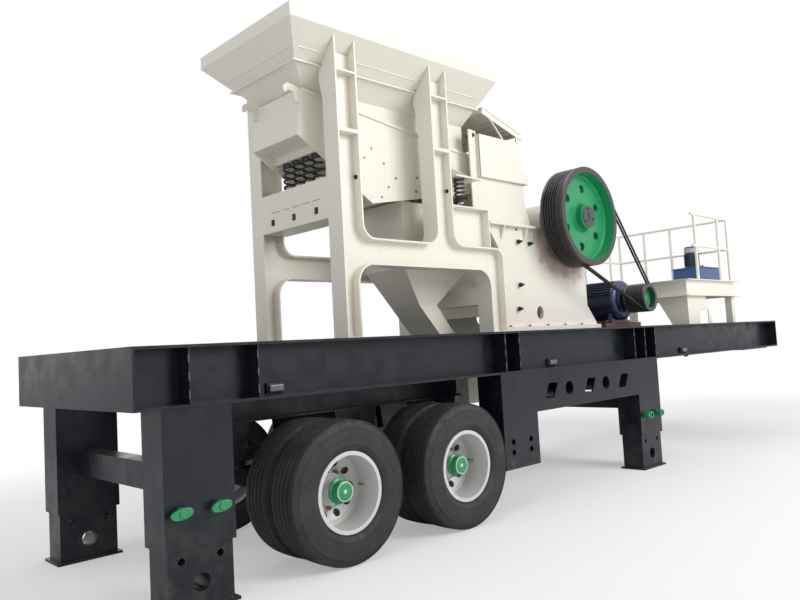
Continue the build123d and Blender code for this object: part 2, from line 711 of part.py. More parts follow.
def spring_bracket():
    """Near seat for the feeder's rear springs: top plate, end plate and a recessed web on the frame's beam."""
    x0, x1 = bracket_x()
    low = DECK + FRAME_BEAM_TOP
    high = low + BRACKET_HEIGHT
    y = (-FRAME_OUTSET + 20, -FRAME_INNER)
    middle = -FRAME_OUTSET + FRAME_DEPTH / 2 + FRAME_WEB
    seat = block((x0, x1), y, (high - BRACKET_PLATE, high))
    end = block((x1 - BRACKET_PLATE, x1), y, (low, high))
    web = block((x0, x1), (middle, middle + BRACKET_PLATE), (low, high))
    corner = block((x0, x0 + OPENING_RADIUS), (-FRAME_OUTSET, -FRAME_INNER), (low - 1, low + OPENING_RADIUS))
    return seat + end + (web - corner)


# Hopper
def level_box(pair, width):
    """(x low, x high, y low, y high) of a rectangle centred across the trailer."""
    x0, x1 = stations(pair)
    return x0, x1, -width / 2, width / 2


def hopper_rim():
    box = level_box(HOPPER_STATIONS, HOPPER_WIDTH)
    return duct([(box, HOPPER_TOP - RIM_HEIGHT), (box, HOPPER_TOP)], HOPPER_PLATE)


def hopper_slope():
    """Upper funnel from the rim down to the band."""
    return duct([(level_box(BAND_STATIONS, BAND_WIDTH), BAND_HEIGHT),
                 (level_box(HOPPER_STATIONS, HOPPER_WIDTH), HOPPER_TOP - RIM_HEIGHT)], HOPPER_PLATE)


def hopper_throat():
    """Lower funnel and skirt, with the stiffening band where it meets the upper funnel."""
    band_box = level_box(BAND_STATIONS, BAND_WIDTH)
    skirt_box = level_box(SKIRT_STATIONS, SKIRT_WIDTH)
    slope = radians(FEEDER_SLOPE)
    feeder_x = station(FEEDER_STATION)
    low_left = FEEDER_TOP - (skirt_box[0] - feeder_x) * sin(slope) / cos(slope) - SKIRT_OVERLAP
    low_right = FEEDER_TOP - (skirt_box[1] - feeder_x) * sin(slope) / cos(slope) - SKIRT_OVERLAP
    bottom = min(low_left, low_right) - 50
    throat = duct([(skirt_box, bottom), (skirt_box, FUNNEL_HEIGHT), (band_box, BAND_HEIGHT)], HOPPER_PLATE)
    trim = panel([(skirt_box[0] - 60, bottom - 60), (skirt_box[1] + 60, bottom - 60),
                  (skirt_box[1] + 60, low_right - 60 * sin(slope)), (skirt_box[0] - 60, low_left + 60 * sin(slope))])
    throat -= across(trim, -SKIRT_WIDTH, SKIRT_WIDTH)
    band = frustum(grown(band_box, BAND_LEDGE), BAND_HEIGHT - HOPPER_PLATE, grown(band_box, BAND_LEDGE), BAND_HEIGHT)
    hole = frustum(grown(band_box, -HOPPER_PLATE), BAND_HEIGHT - HOPPER_PLATE - 1,
                   grown(band_box, -HOPPER_PLATE), BAND_HEIGHT + 1)
    cut = frustum(skirt_box, FUNNEL_HEIGHT, band_box, BAND_HEIGHT)
    return throat + (band - hole - cut)


# Feeder, drawn level from its top corner and then tilted
def tilted(shape):
    return Pos(station(FEEDER_STATION), 0, FEEDER_TOP) * Rot(0, FEEDER_SLOPE, 0) * shape


def feeder_side():
    """Near side plate with its deep belly and the rail along its top edge."""
    half = FEEDER_WIDTH / 2
    plate = across(panel([(0, 0), (FEEDER_LENGTH, 0), (FEEDER_LENGTH, -TROUGH_DEPTH), (BELLY_STATION, -BELLY_DEPTH, 20),
                          (0, -TROUGH_DEPTH)]), -half, -half + FEEDER_PLATE)
    rail = block((0, FEEDER_LENGTH), (-half - TOP_RAIL_PROUD, -half), (-TOP_RAIL_DEPTH, 0))
    return tilted(plate + rail)


def feeder_pan():
    """Tail plate, pan and its cross ribs between the side plates."""
    half = FEEDER_WIDTH / 2 - FEEDER_PLATE
    tail = block((0, FEEDER_PLATE), (-half, half), (-TROUGH_DEPTH, 0))
    pan = block((0, PAN_LENGTH), (-half, half), (-TROUGH_DEPTH, -TROUGH_DEPTH + FEEDER_PLATE))
    return tilted(tail + pan)


def grizzly():
    """Grizzly bars with gaps for the fines, carried on two cross bars between the side plates."""
    half = FEEDER_WIDTH / 2 - FEEDER_PLATE
    x = (PAN_LENGTH + 2, FEEDER_LENGTH)
    low = -TROUGH_DEPTH - GRIZZLY_BAR_DEPTH
    high = -TROUGH_DEPTH + FEEDER_PLATE
    bars = block((x[0], x[0] + 60), (-half, half), (low, low + 60))
    bars += block((x[1] - 260, x[1] - 200), (-half, half), (low, low + 60))
    pitch = 2 * half / GRIZZLY_BAR_COUNT
    for number in range(GRIZZLY_BAR_COUNT):
        y = -half + (number + 0.5) * pitch
        bars += block(x, (y - GRIZZLY_BAR_WIDTH / 2, y + GRIZZLY_BAR_WIDTH / 2), (low + 20, high))
    return tilted(bars)


def exciter():
    """Exciter box bolted between the side plates under the pan."""
    half = FEEDER_WIDTH / 2 - FEEDER_PLATE
    top = -TROUGH_DEPTH - 40
    return tilted(block(EXCITER_STATIONS, (-half, half), (top - EXCITER_DEPTH, top)))


def hook(y):
    """Lifting hook cut from plate, on the feeder's tail plate."""
    face = panel([(0, -130), (0, 0), (-60, 12, 20), (-140, 8, 30), (-165, -30), (-160, -75), (-132, -75),
                  (-122, -48), (-60, -52), (-40, -130)])
    return tilted(across(face, y - HOOK_THICK / 2, y + HOOK_THICK / 2))


def coil_stand(x, y, low, height):
    """Round sleeve of a coil spring's outer size."""
    shape = Cylinder(SPRING_RADIUS, height) - Cylinder(SPRING_RADIUS - 2 * SPRING_WIRE, height)
    return Pos(x, y, low + height / 2) * shape


def spring_places():
    """Centre, lower end and height of each near and front spring."""
    beam_top = DECK + FRONT_BEAM_TOP
    front = [(FRONT_BEAM_X, FRONT_SPRING_SPACING * step / 2, beam_top, FRONT_SPRING_HEIGHT) for step in (-3, -1, 1, 3)]
    x0, x1 = bracket_x()
    low = DECK + FRAME_BEAM_TOP + BRACKET_HEIGHT
    rear = [(x0 + place, side * (FRAME_OUTSET - FRAME_DEPTH / 2), low, REAR_SPRING_HEIGHT)
            for place in (190, 400) for side in (-1, 1)]
    return front, rear


def spring_seats():
    """Seats that the feeder rests on: one across under the pan, one arm each side at the rear."""
    front, rear = spring_places()
    slope = radians(FEEDER_SLOPE)
    top = front[0][2] + front[0][3]
    half = FEEDER_WIDTH / 2 - FEEDER_PLATE
    x = FRONT_BEAM_X
    near_x, far_x = x - SPRING_RADIUS - 10, x + SPRING_RADIUS + 10

    def pan_low(at):
        return FEEDER_TOP - (at - station(FEEDER_STATION)) * sin(slope) / cos(slope) - TROUGH_DEPTH / cos(slope)

    front_seat = across(panel([(near_x, top), (far_x, top), (far_x, pan_low(far_x)), (near_x, pan_low(near_x))]),
                        -half, half)
    x0, x1 = bracket_x()
    rear_top = rear[0][2] + rear[0][3]
    arm = block((x0 + 100, x1 - 80), (-FRAME_OUTSET + 25, -FEEDER_WIDTH / 2), (rear_top, rear_top + SPRING_SEAT_PLATE))
    gusset = panel([(-FRAME_OUTSET + 60, rear_top + SPRING_SEAT_PLATE), (-FEEDER_WIDTH / 2, rear_top + SPRING_SEAT_PLATE),
                    (-FEEDER_WIDTH / 2, rear_top + 180)])
    for place in (x0 + 190, x0 + 400):
        arm += along(gusset, place - 6, place + 6)
    return [front_seat] + both(arm)


# Fines chute
def fines_hopper():
    """Catch box and funnel under the grizzly bars, hung between the support frames."""
    box = duct([(level_box(THROAT_STATIONS, DUCT_WIDTH), CHUTE_THROAT),
                 (level_box(CHUTE_STATIONS, CHUTE_WIDTH), CHUTE_SHOULDER),
                 (level_box(CHUTE_STATIONS, CHUTE_WIDTH), CHUTE_TOP)], CHUTE_PLATE)
    for place in CHUTE_HANGER_STATIONS:
        x = station(place)
        hanger = block((x - 6, x + 6), (-FRAME_INNER, -CHUTE_WIDTH / 2), (CHUTE_SHOULDER + 10, DECK + FRAME_BEAM_TOP))
        box = box + hanger + far(hanger)
    return box


def fines_duct():
    """Slanting duct from the funnel down through the chassis."""
    return duct([(level_box(DUCT_EXIT_STATIONS, DUCT_WIDTH), DUCT_EXIT),
                 (level_box(DUCT_EXIT_STATIONS, DUCT_WIDTH), DUCT_KNEE),
                 (level_box(DUCT_BEND_STATIONS, DUCT_WIDTH), DUCT_BEND),
                 (level_box(THROAT_STATIONS, DUCT_WIDTH), CHUTE_THROAT)], CHUTE_PLATE)


# Jaw crusher
def crusher_side():
    """Near side plate, raised at the rear into the bearing seat, on its base flange."""
    x0, x1 = stations(CRUSHER_STATIONS)
    outer = -CRUSHER_WIDTH / 2
    face = panel([(x0, DECK), (x1, DECK), (x1, 2450), (SHAFT_X + BEARING_RADIUS + 60, CRUSHER_TOP),
                  (SHAFT_X + BEARING_RADIUS + 60, SHAFT_HEIGHT), (SHAFT_X - BEARING_RADIUS - 60, SHAFT_HEIGHT),
                  (SHAFT_X - BEARING_RADIUS - 60, CRUSHER_TOP), (x0, CRUSHER_TOP)])
    plate = across(face, outer, outer + CRUSHER_SIDE_THICK)
    plate += block((x0 - 60, x1 + CRUSHER_BASE_LEDGE), (outer - 60, outer + CRUSHER_SIDE_THICK),
                   (DECK, DECK + CRUSHER_BASE_THICK))
    plate += block((x0, station(HOOD_NECK_STATIONS[1]) + 40), (outer - 70, outer), (CRUSHER_TOP - 25, CRUSHER_TOP))
    seat = round_bar(BEARING_RADIUS, SHAFT_X, SHAFT_HEIGHT, outer - 60, outer + CRUSHER_SIDE_THICK + 60)
    return plate - seat


def bearing():
    """Near bearing housing, clamped in the side plate's seat."""
    outer = -CRUSHER_WIDTH / 2
    low = outer + CRUSHER_SIDE_THICK / 2 - BEARING_LENGTH / 2
    housing = round_bar(BEARING_RADIUS, SHAFT_X, SHAFT_HEIGHT, low, low + BEARING_LENGTH)
    return housing - round_bar(SHAFT_RADIUS + BEARING_BORE_CLEARANCE, SHAFT_X, SHAFT_HEIGHT, low - 1, low + BEARING_LENGTH + 1)


def crusher_end_walls():
    """Front and rear cross walls between the side plates."""
    x0, x1 = stations(CRUSHER_STATIONS)
    half = CRUSHER_WIDTH / 2 - CRUSHER_SIDE_THICK
    front = block((x0, x0 + CRUSHER_WALL_THICK), (-half, half), (DECK + 200, CRUSHER_TOP))
    rear = block((x1 - CRUSHER_WALL_THICK, x1), (-half, half), (DECK + 60, 2400))
    return [front, rear]


def fixed_jaw():
    """Ribbed fixed jaw plate against the front wall."""
    x0 = station(CRUSHER_STATIONS[0]) + CRUSHER_WALL_THICK
    half = CRUSHER_WIDTH / 2 - CRUSHER_SIDE_THICK - 5
    jaw = block((x0, x0 + JAW_THICK), (-half, half), (DECK + 220, CRUSHER_TOP - 30))
    return jaw


def swing_jaw():
    """Pitman: barrel round the eccentric shaft, tapering to the toggle seat, with its jaw plate."""
    barrel = round_bar(PITMAN_RADIUS, SHAFT_X, SHAFT_HEIGHT, -PITMAN_LENGTH / 2, PITMAN_LENGTH / 2)
    toe = station(CRUSHER_STATIONS[0]) + CRUSHER_WALL_THICK + JAW_THICK + 160
    body = panel([(SHAFT_X - 230, SHAFT_HEIGHT - 80), (SHAFT_X + 200, SHAFT_HEIGHT - 120), (toe + 420, DECK + 420),
                  (toe + 330, DECK + 260), (toe, DECK + 300)])
    pitman = barrel + across(body, -PITMAN_LENGTH / 2, PITMAN_LENGTH / 2)
    hole = SHAFT_RADIUS + PITMAN_CLEARANCE
    return pitman - round_bar(hole, SHAFT_X, SHAFT_HEIGHT, -PITMAN_LENGTH, PITMAN_LENGTH)


def feed_hood():
    """Hood over the crusher's mouth: wide box above a ledge, neck below, open to the feeder."""
    x0, x1 = stations(HOOD_STATIONS)
    n0, n1 = stations(HOOD_NECK_STATIONS)
    half = HOOD_WIDTH / 2
    wall = HOOD_PLATE
    upper = block((x0, x1), (-half, half), (HOOD_LEDGE, HOOD_TOP))
    upper -= block((x0 - 1, x1 - wall), (-half + wall, half - wall), (HOOD_LEDGE - 1, HOOD_TOP + 1))
    neck_low = (n0, n1, -half, half)
    neck_high = (n0, x1, -half, half)
    neck = duct([(neck_low, CRUSHER_TOP), (neck_high, HOOD_LEDGE)], wall)
    box = (n0, x1 + HOOD_LEDGE_PROUD, -half - HOOD_LEDGE_PROUD, half + HOOD_LEDGE_PROUD)
    ledge = frustum(box, HOOD_LEDGE - 90, box, HOOD_LEDGE)
    ledge -= frustum(grown(neck_high, -1), HOOD_LEDGE - 91, grown(neck_high, -1), HOOD_LEDGE + 1)
    inlet = FEEDER_WIDTH / 2 + HOOD_INLET_GAP
    sill = block((x0, n0 + wall), (-half, half), (HOOD_LEDGE - wall, HOOD_LEDGE))
    sill -= block((x0 - 1, n0), (-inlet, inlet), (HOOD_LEDGE - wall - 1, HOOD_LEDGE + 1))
    return upper + neck + ledge + sill


def hood_cover():
    """Slanting cover over the hood, rising towards the hopper."""
    x0, x1 = stations(HOOD_STATIONS)
    half = HOOD_WIDTH / 2
    face = panel([(x1, HOOD_TOP), (x1, HOOD_TOP + 40), (x0 + 250, HOOD_TOP + COVER_RISE + 40),
                  (x0 + 250, HOOD_TOP + COVER_RISE)])
    cover = across(face, -half, half)
    strut = panel([(x0 + 250, HOOD_TOP), (x0 + 290, HOOD_TOP), (x0 + 290, HOOD_TOP + COVER_RISE),
                   (x0 + 250, HOOD_TOP + COVER_RISE)])
    return cover + across(strut, -half, -half + HOOD_PLATE) + across(strut, half - HOOD_PLATE, half)


# Drive
def grooved_edge(radius, low, count):
    """(radius, y) points of V grooves along a rim, starting at low."""
    points = []
    for number in range(count):
        y = low + number * GROOVE_PITCH
        land = (GROOVE_PITCH - 26) / 2
        points += [(radius, y), (radius, y + land), (radius - GROOVE_DEPTH, y + GROOVE_PITCH / 2 - GROOVE_FLAT / 2),
                   (radius - GROOVE_DEPTH, y + GROOVE_PITCH / 2 + GROOVE_FLAT / 2), (radius, y + GROOVE_PITCH - land)]
    return points


def flywheel(grooved):
    """Near flywheel: heavy rim, recessed web with round holes, and hub."""
    out = -FLYWHEEL_OUTER_FACE
    back = out + FLYWHEEL_WIDTH
    inner = FLYWHEEL_RADIUS - FLYWHEEL_RIM
    web = out + FLYWHEEL_WEB_RECESS
    edge = grooved_edge(FLYWHEEL_RADIUS, out + PLAIN_RIM_LENGTH, GROOVE_COUNT) if grooved else []
    points = [(SHAFT_RADIUS, out + 20), (FLYWHEEL_HUB_RADIUS, out + 20), (FLYWHEEL_HUB_RADIUS + 10, web), (inner, web),
              (inner, out), (FLYWHEEL_RADIUS, out)]
    points += edge
    points += [(FLYWHEEL_RADIUS, back), (inner, back), (inner, web + FLYWHEEL_WEB),
               (FLYWHEEL_HUB_RADIUS, web + FLYWHEEL_WEB), (FLYWHEEL_HUB_RADIUS, back - 20), (SHAFT_RADIUS, back - 20)]
    disc = spun(SHAFT_X, SHAFT_HEIGHT, points)
    for turn in range(FLYWHEEL_HOLE_COUNT):
        angle = 2 * pi * turn / FLYWHEEL_HOLE_COUNT
        disc -= round_bar(FLYWHEEL_HOLE_RADIUS, SHAFT_X + FLYWHEEL_HOLE_CIRCLE * cos(angle),
                          SHAFT_HEIGHT + FLYWHEEL_HOLE_CIRCLE * sin(angle), out, back)
    return disc


def shaft():
    end = FLYWHEEL_OUTER_FACE + SHAFT_STUB
    return round_bar(SHAFT_RADIUS, SHAFT_X, SHAFT_HEIGHT, -end, end)


def pulley():
    """Motor pulley: a long grooved drum, hollow at its outer end."""
    out = -FLYWHEEL_OUTER_FACE
    back = out + PULLEY_LENGTH
    inner = PULLEY_RADIUS - PULLEY_WALL - GROOVE_DEPTH
    points = [(MOTOR_SHAFT_RADIUS, back), (MOTOR_SHAFT_RADIUS, out + 90), (inner, out + 90), (inner, out), (PULLEY_RADIUS, out)]
    points += grooved_edge(PULLEY_RADIUS, out + PLAIN_RIM_LENGTH, GROOVE_COUNT)
    points += [(PULLEY_RADIUS, back)]
    return spun(MOTOR_X, MOTOR_HEIGHT, points) + round_bar(MOTOR_SHAFT_RADIUS, MOTOR_X, MOTOR_HEIGHT, out + 90, back + 100)


def motor():
    """Electric motor across the trailer, on its feet."""
    near = -FLYWHEEL_OUTER_FACE + PULLEY_LENGTH + MOTOR_END_GAP
    body = round_bar(MOTOR_RADIUS, MOTOR_X, MOTOR_HEIGHT, near, near + MOTOR_LENGTH)
    foot_low = DECK + RAIL_HEIGHT
    feet = block((MOTOR_X - 230, MOTOR_X + 230), (near + 90, near + MOTOR_LENGTH - 120), (foot_low, foot_low + 30))
    web = block((MOTOR_X - 150, MOTOR_X + 150), (near + 110, near + MOTOR_LENGTH - 140), (foot_low, MOTOR_HEIGHT))
    box = block((MOTOR_X + 100, MOTOR_X + 290), (near + 180, near + 400), (MOTOR_HEIGHT + 20, MOTOR_HEIGHT + 220))
    bore = round_bar(MOTOR_SHAFT_RADIUS + 0.5, MOTOR_X, MOTOR_HEIGHT, near - 1, near + 60)
    return body + feet + web + box - bore


def motor_rails():
    """Two slide rails under the motor."""
    near = -FLYWHEEL_OUTER_FACE + PULLEY_LENGTH + MOTOR_END_GAP
    rails = []
    for y in (near + 100, near + 100 + RAIL_SPACING):
        rails.append(block((MOTOR_X - RAIL_LENGTH / 2, MOTOR_X + RAIL_LENGTH / 2), (y - RAIL_WIDTH / 2, y + RAIL_WIDTH / 2),
                           (DECK, DECK + RAIL_HEIGHT)))
    return rails


def belt_loop(extra):
    """Face of the band round both pulleys, this far outside the groove floors."""
    big = FLYWHEEL_RADIUS - GROOVE_DEPTH + extra
    small = PULLEY_RADIUS - GROOVE_DEPTH + extra
    run, drop = MOTOR_X - SHAFT_X, MOTOR_HEIGHT - SHAFT_HEIGHT
    line = atan2(drop, run)
    swing = acos((big - small) / hypot(run, drop))
    corners = []
    for centre, radius, side in ((0, big, 1), (0, big, -1), (1, small, -1), (1, small, 1)):
        angle = line + side * swing
        corners.append((SHAFT_X + centre * run + radius * cos(angle), SHAFT_HEIGHT + centre * drop + radius * sin(angle)))
    face = panel(corners) + Pos(SHAFT_X, SHAFT_HEIGHT) * Circle(big)
    return face + Pos(MOTOR_X, MOTOR_HEIGHT) * Circle(small)


def belts():
    """V-belts, one loop each, lying in the grooves."""
    band = belt_loop(BELT_CLEARANCE + BELT_THICK) - belt_loop(BELT_CLEARANCE)
    loops = []
    for number in range(BELT_COUNT):
        middle = -FLYWHEEL_OUTER_FACE + PLAIN_RIM_LENGTH + (number + 0.5) * GROOVE_PITCH
        width = GROOVE_FLAT - 2 * BELT_CLEARANCE
        loops.append(across(band, middle - width / 2, middle + width / 2))
    return loops


# Power pack stand
def stand():
    """Channel ring on four legs with a deck plate."""
    x0, x1 = stations(STAND_STATIONS)
    half = STAND_WIDTH / 2
    low, high = STAND_TOP - STAND_RING_DEPTH, STAND_TOP
    plate = STAND_PLATE
    ring = block((x0, x1), (-half, half), (low, high))
    ring -= block((x0 + STAND_FLANGE, x1 - STAND_FLANGE), (-half + STAND_FLANGE, half - STAND_FLANGE), (low - 1, high + 1))
    outer = block((x0 - 1, x1 + 1), (-half - 1, half + 1), (low + plate, high - plate))
    outer -= block((x0 + STAND_FLANGE - plate, x1 - STAND_FLANGE + plate),
                   (-half + STAND_FLANGE - plate, half - STAND_FLANGE + plate), (low, high))
    ring -= outer
    deck = block((x0 + STAND_FLANGE, x1 - STAND_FLANGE), (-half + STAND_FLANGE, half - STAND_FLANGE), (high - plate, high))
    frame = ring + deck
    for x in (x0 + STAND_LEG_INSET, x1 - STAND_LEG_INSET):
        for y in (-half + STAND_LEG_INSET, half - STAND_LEG_INSET):
            frame += block((x - STAND_LEG_SIZE / 2, x + STAND_LEG_SIZE / 2), (y - STAND_LEG_SIZE / 2, y + STAND_LEG_SIZE / 2),
                           (DECK, low))
    return frame


def tank():
    """Oil tank with an overhanging lid."""
    x0, x1 = stations(TANK_STATIONS)
    y0, y1 = -TANK_OUTSET, -TANK_OUTSET + TANK_WIDTH
    body = block((x0 + TANK_LID, x1 - TANK_LID), (y0 + TANK_LID, y1 - TANK_LID), (STAND_TOP, STAND_TOP + TANK_HEIGHT))
    lid = block((x0, x1), (y0, y1), (STAND_TOP + TANK_HEIGHT - TANK_LID, STAND_TOP + TANK_HEIGHT))
    return body + lid


def pump_motor():
    x = station(TANK_STATIONS[0]) + 230
    y = -TANK_OUTSET + TANK_WIDTH / 2
    low = STAND_TOP + TANK_HEIGHT
    body = Pos(x, y, low + PUMP_MOTOR_HEIGHT / 2) * Cylinder(PUMP_MOTOR_RADIUS, PUMP_MOTOR_HEIGHT)
    flange = Pos(x, y, low + 10) * Cylinder(PUMP_MOTOR_RADIUS + 35, 20)
    return body + flange


def railing():
    """Handrail of round tube on the near, end and far sides of the stand."""
    half = STAND_WIDTH / 2
    end = station(RAILING_END_STATION)
    start = station(STAND_STATIONS[0]) + 260
    top = STAND_TOP + RAILING_HEIGHT
    r = RAILING_RADIUS
    edge = half - POST_RADIUS - 4
    spots = [(station(place), side * edge) for place in RAILING_POST_STATIONS for side in (-1, 1)]
    spots += [(end, y) for y in (-edge, 0, edge / 2, edge)]
    posts = [Pos(x, y, (STAND_TOP + top + r) / 2) * Cylinder(POST_RADIUS, top + r - STAND_TOP) for x, y in spots]
    bars = []
    for height in (top, STAND_TOP + RAILING_MID):
        bars += [Pos((start + end - r - 1) / 2, y, height) * Rot(0, 90, 0) * Cylinder(r, end - r - 1 - start)
                 for y in (-edge, edge)]
        bars.append(round_bar(r, end, height, -edge, edge))
    return Part() + posts + bars


def build():
    os.makedirs("parts", exist_ok=True)
    save("main_beams", *both(main_beam()))
    ends = [end_plate(station(0)), end_plate(station(CHASSIS_LENGTH - END_PLATE_THICK))]
    save("cross_members", *cross_members(), *ends)
    save("coupler_plate", coupler())
    save("suspension_beams", *both(suspension_beam()))
    packs = [leaf_pack(station(place)) for place in AXLE_STATIONS]
    save("leaf_springs", *packs, *[far(pack) for pack in packs])
    save("axles", *[axle(station(place)) for place in AXLE_STATIONS])
    for number, place in enumerate(AXLE_STATIONS, 1):
        tyres, metal = wheel(station(place))
        save(f"tyres_near_{number}", *tyres)
        save(f"tyres_far_{number}", *[far(each) for each in tyres])
        save(f"rims_near_{number}", metal)
        save(f"rims_far_{number}", far(metal))
    housings = [leg_housing(place) for place in LEG_STATIONS]
    save("leg_housings", *housings, *[far(housing) for housing in housings])
    for end, place in zip(("left", "right"), LEG_STATIONS):
        save(f"{end}_near_inner_leg", inner_leg(place))
        save(f"{end}_far_inner_leg", far(inner_leg(place)))
    screws = [screw for place in LEG_STATIONS for screw in clamp_screws(place)]
    save("clamp_screws", *screws, *[far(screw) for screw in screws])
    save("mid_legs", *both(mid_leg()))
    save("side_girders", *both(side_girder()))
    save("leg_ties", *[leg_tie(place) for place in LEG_STATIONS], *[girder_tube(place) for place in TUBE_STATIONS])
    save("support_frame_near", support_frame())
    save("support_frame_far", far(support_frame()))
    columns = [upper_column(x) for x in (FRAME_X, FRAME_X + COLUMN_SPACING)]
    save("upper_columns", *columns, *[far(column) for column in columns])
    save("frame_crossbeams", front_beam(), rear_beam())
    save("spring_brackets", *both(spring_bracket()))
    save("hopper_rim", hopper_rim())
    save("hopper_slope", hopper_slope())
    save("hopper_throat", hopper_throat())
    save("feeder_sides", *both(feeder_side()))
    save("feeder_pan", feeder_pan())
    save("grizzly_bars", grizzly())
    save("feeder_exciter", exciter())
    save("lifting_hooks", hook(-HOOK_SPREAD / 2), hook(HOOK_SPREAD / 2))
    front, rear = spring_places()
    save("coil_springs", *[coil_stand(*spring) for spring in front + rear])
    save("spring_seats", *spring_seats())
    save("fines_hopper", fines_hopper())
    save("fines_duct", fines_duct())
    save("crusher_sides", *both(crusher_side()))
    save("crusher_end_walls", *crusher_end_walls())
    save("fixed_jaw", fixed_jaw())
    save("swing_jaw", swing_jaw())
    save("shaft_bearings", *both(bearing()))
    save("feed_hood", feed_hood())
    save("hood_cover", hood_cover())
    save("eccentric_shaft", shaft())
    save("belt_flywheel", flywheel(True))
    save("plain_flywheel", far(flywheel(False)))
    save("motor_pulley", pulley())
    save("drive_motor", motor())
    save("motor_rails", *motor_rails())
    save("drive_belts", *belts())
    save("stand_frame", stand())
    save("oil_tank", tank())
    save("pump_motor", pump_motor())
    save("railing", railing())


build()
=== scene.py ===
"""Looks of the mobile jaw crusher plant: materials, fine pieces, camera and light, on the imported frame."""

import json
from math import acos, atan2, cos, hypot, pi, radians, sin, tan

import bmesh
import bpy
from mathutils import Matrix, Vector
from mathutils.bvhtree import BVHTree


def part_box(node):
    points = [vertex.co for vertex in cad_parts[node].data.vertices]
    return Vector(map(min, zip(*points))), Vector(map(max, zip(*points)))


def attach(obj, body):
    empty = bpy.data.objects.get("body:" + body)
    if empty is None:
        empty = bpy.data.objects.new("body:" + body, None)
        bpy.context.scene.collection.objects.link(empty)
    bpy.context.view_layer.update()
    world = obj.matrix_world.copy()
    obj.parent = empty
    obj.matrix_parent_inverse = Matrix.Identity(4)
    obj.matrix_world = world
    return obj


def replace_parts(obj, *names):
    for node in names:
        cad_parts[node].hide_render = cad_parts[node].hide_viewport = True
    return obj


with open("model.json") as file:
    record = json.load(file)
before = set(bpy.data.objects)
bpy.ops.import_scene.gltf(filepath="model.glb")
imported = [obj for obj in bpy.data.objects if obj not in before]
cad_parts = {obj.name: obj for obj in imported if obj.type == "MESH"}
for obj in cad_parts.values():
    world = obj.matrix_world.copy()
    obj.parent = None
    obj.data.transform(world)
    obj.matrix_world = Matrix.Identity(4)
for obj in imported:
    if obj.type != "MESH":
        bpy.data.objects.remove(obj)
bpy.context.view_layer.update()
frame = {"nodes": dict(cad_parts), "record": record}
NODES = frame["nodes"]

# Camera, solved from the photograph
CAMERA_PLACE = (-7.199, -5.465, 1.593)
CAMERA_YAW = 0.764133614
CAMERA_PITCH = 0.0645598361
CAMERA_ROLL = 0.0556693938
CAMERA_LENS = 32.98

# Places and sizes that several sections use, in metres; an axis across the trailer is given as (x, z)
SIDES = (-1, 1)
SHAFT = (0.375, 3.010)
MOTOR = (1.672, 2.059)
AXLES = (-3.700, -2.390)
WHEEL_HEIGHT = 0.540
DECK = 1.690
SINK = 0.001
FLY_INNER = 0.521
PULLEY_RADIUS, PULLEY_WALL = 0.182, 0.048
PAINT_EDGE = 0.0004


# Materials
def linear(colour, factor=1.0):
    """Linear colour with alpha from 0 to 255 display values, made darker or paler by a factor."""
    shares = [value / 255 for value in colour]
    shares = [share / 12.92 if share <= 0.04045 else ((share + 0.055) / 1.055) ** 2.4 for share in shares]
    return tuple(min(1.0, share * factor) for share in shares) + (1.0,)


class Tree:
    """Shader nodes of a world or a material."""

    def __init__(self, owner):
        owner.use_nodes = True
        self.nodes, self.links = owner.node_tree.nodes, owner.node_tree.links

    def put(self, socket, value):
        if isinstance(value, bpy.types.NodeSocket):
            self.links.new(value, socket)
        else:
            socket.default_value = value

    def node(self, kind, **values):
        """New node with its inputs filled; an underscore stands for a space in their names."""
        node = self.nodes.new("ShaderNode" + kind)
        for name, value in values.items():
            self.put(node.inputs[name.replace("_", " ")], value)
        return node

    def math(self, operation, one, two=0.0):
        node = self.node("Math")
        node.operation = operation
        self.put(node.inputs[0], one)
        self.put(node.inputs[1], two)
        return node.outputs["Value"]

    def blend(self, factor, one, two, output):
        """Leads a mix of two shaders to the output node."""
        node = self.node("MixShader", Fac=factor)
        self.put(node.inputs[1], one.outputs[0])
        self.put(node.inputs[2], two.outputs[0])
        self.put(self.nodes[output].inputs["Surface"], node.outputs["Shader"])


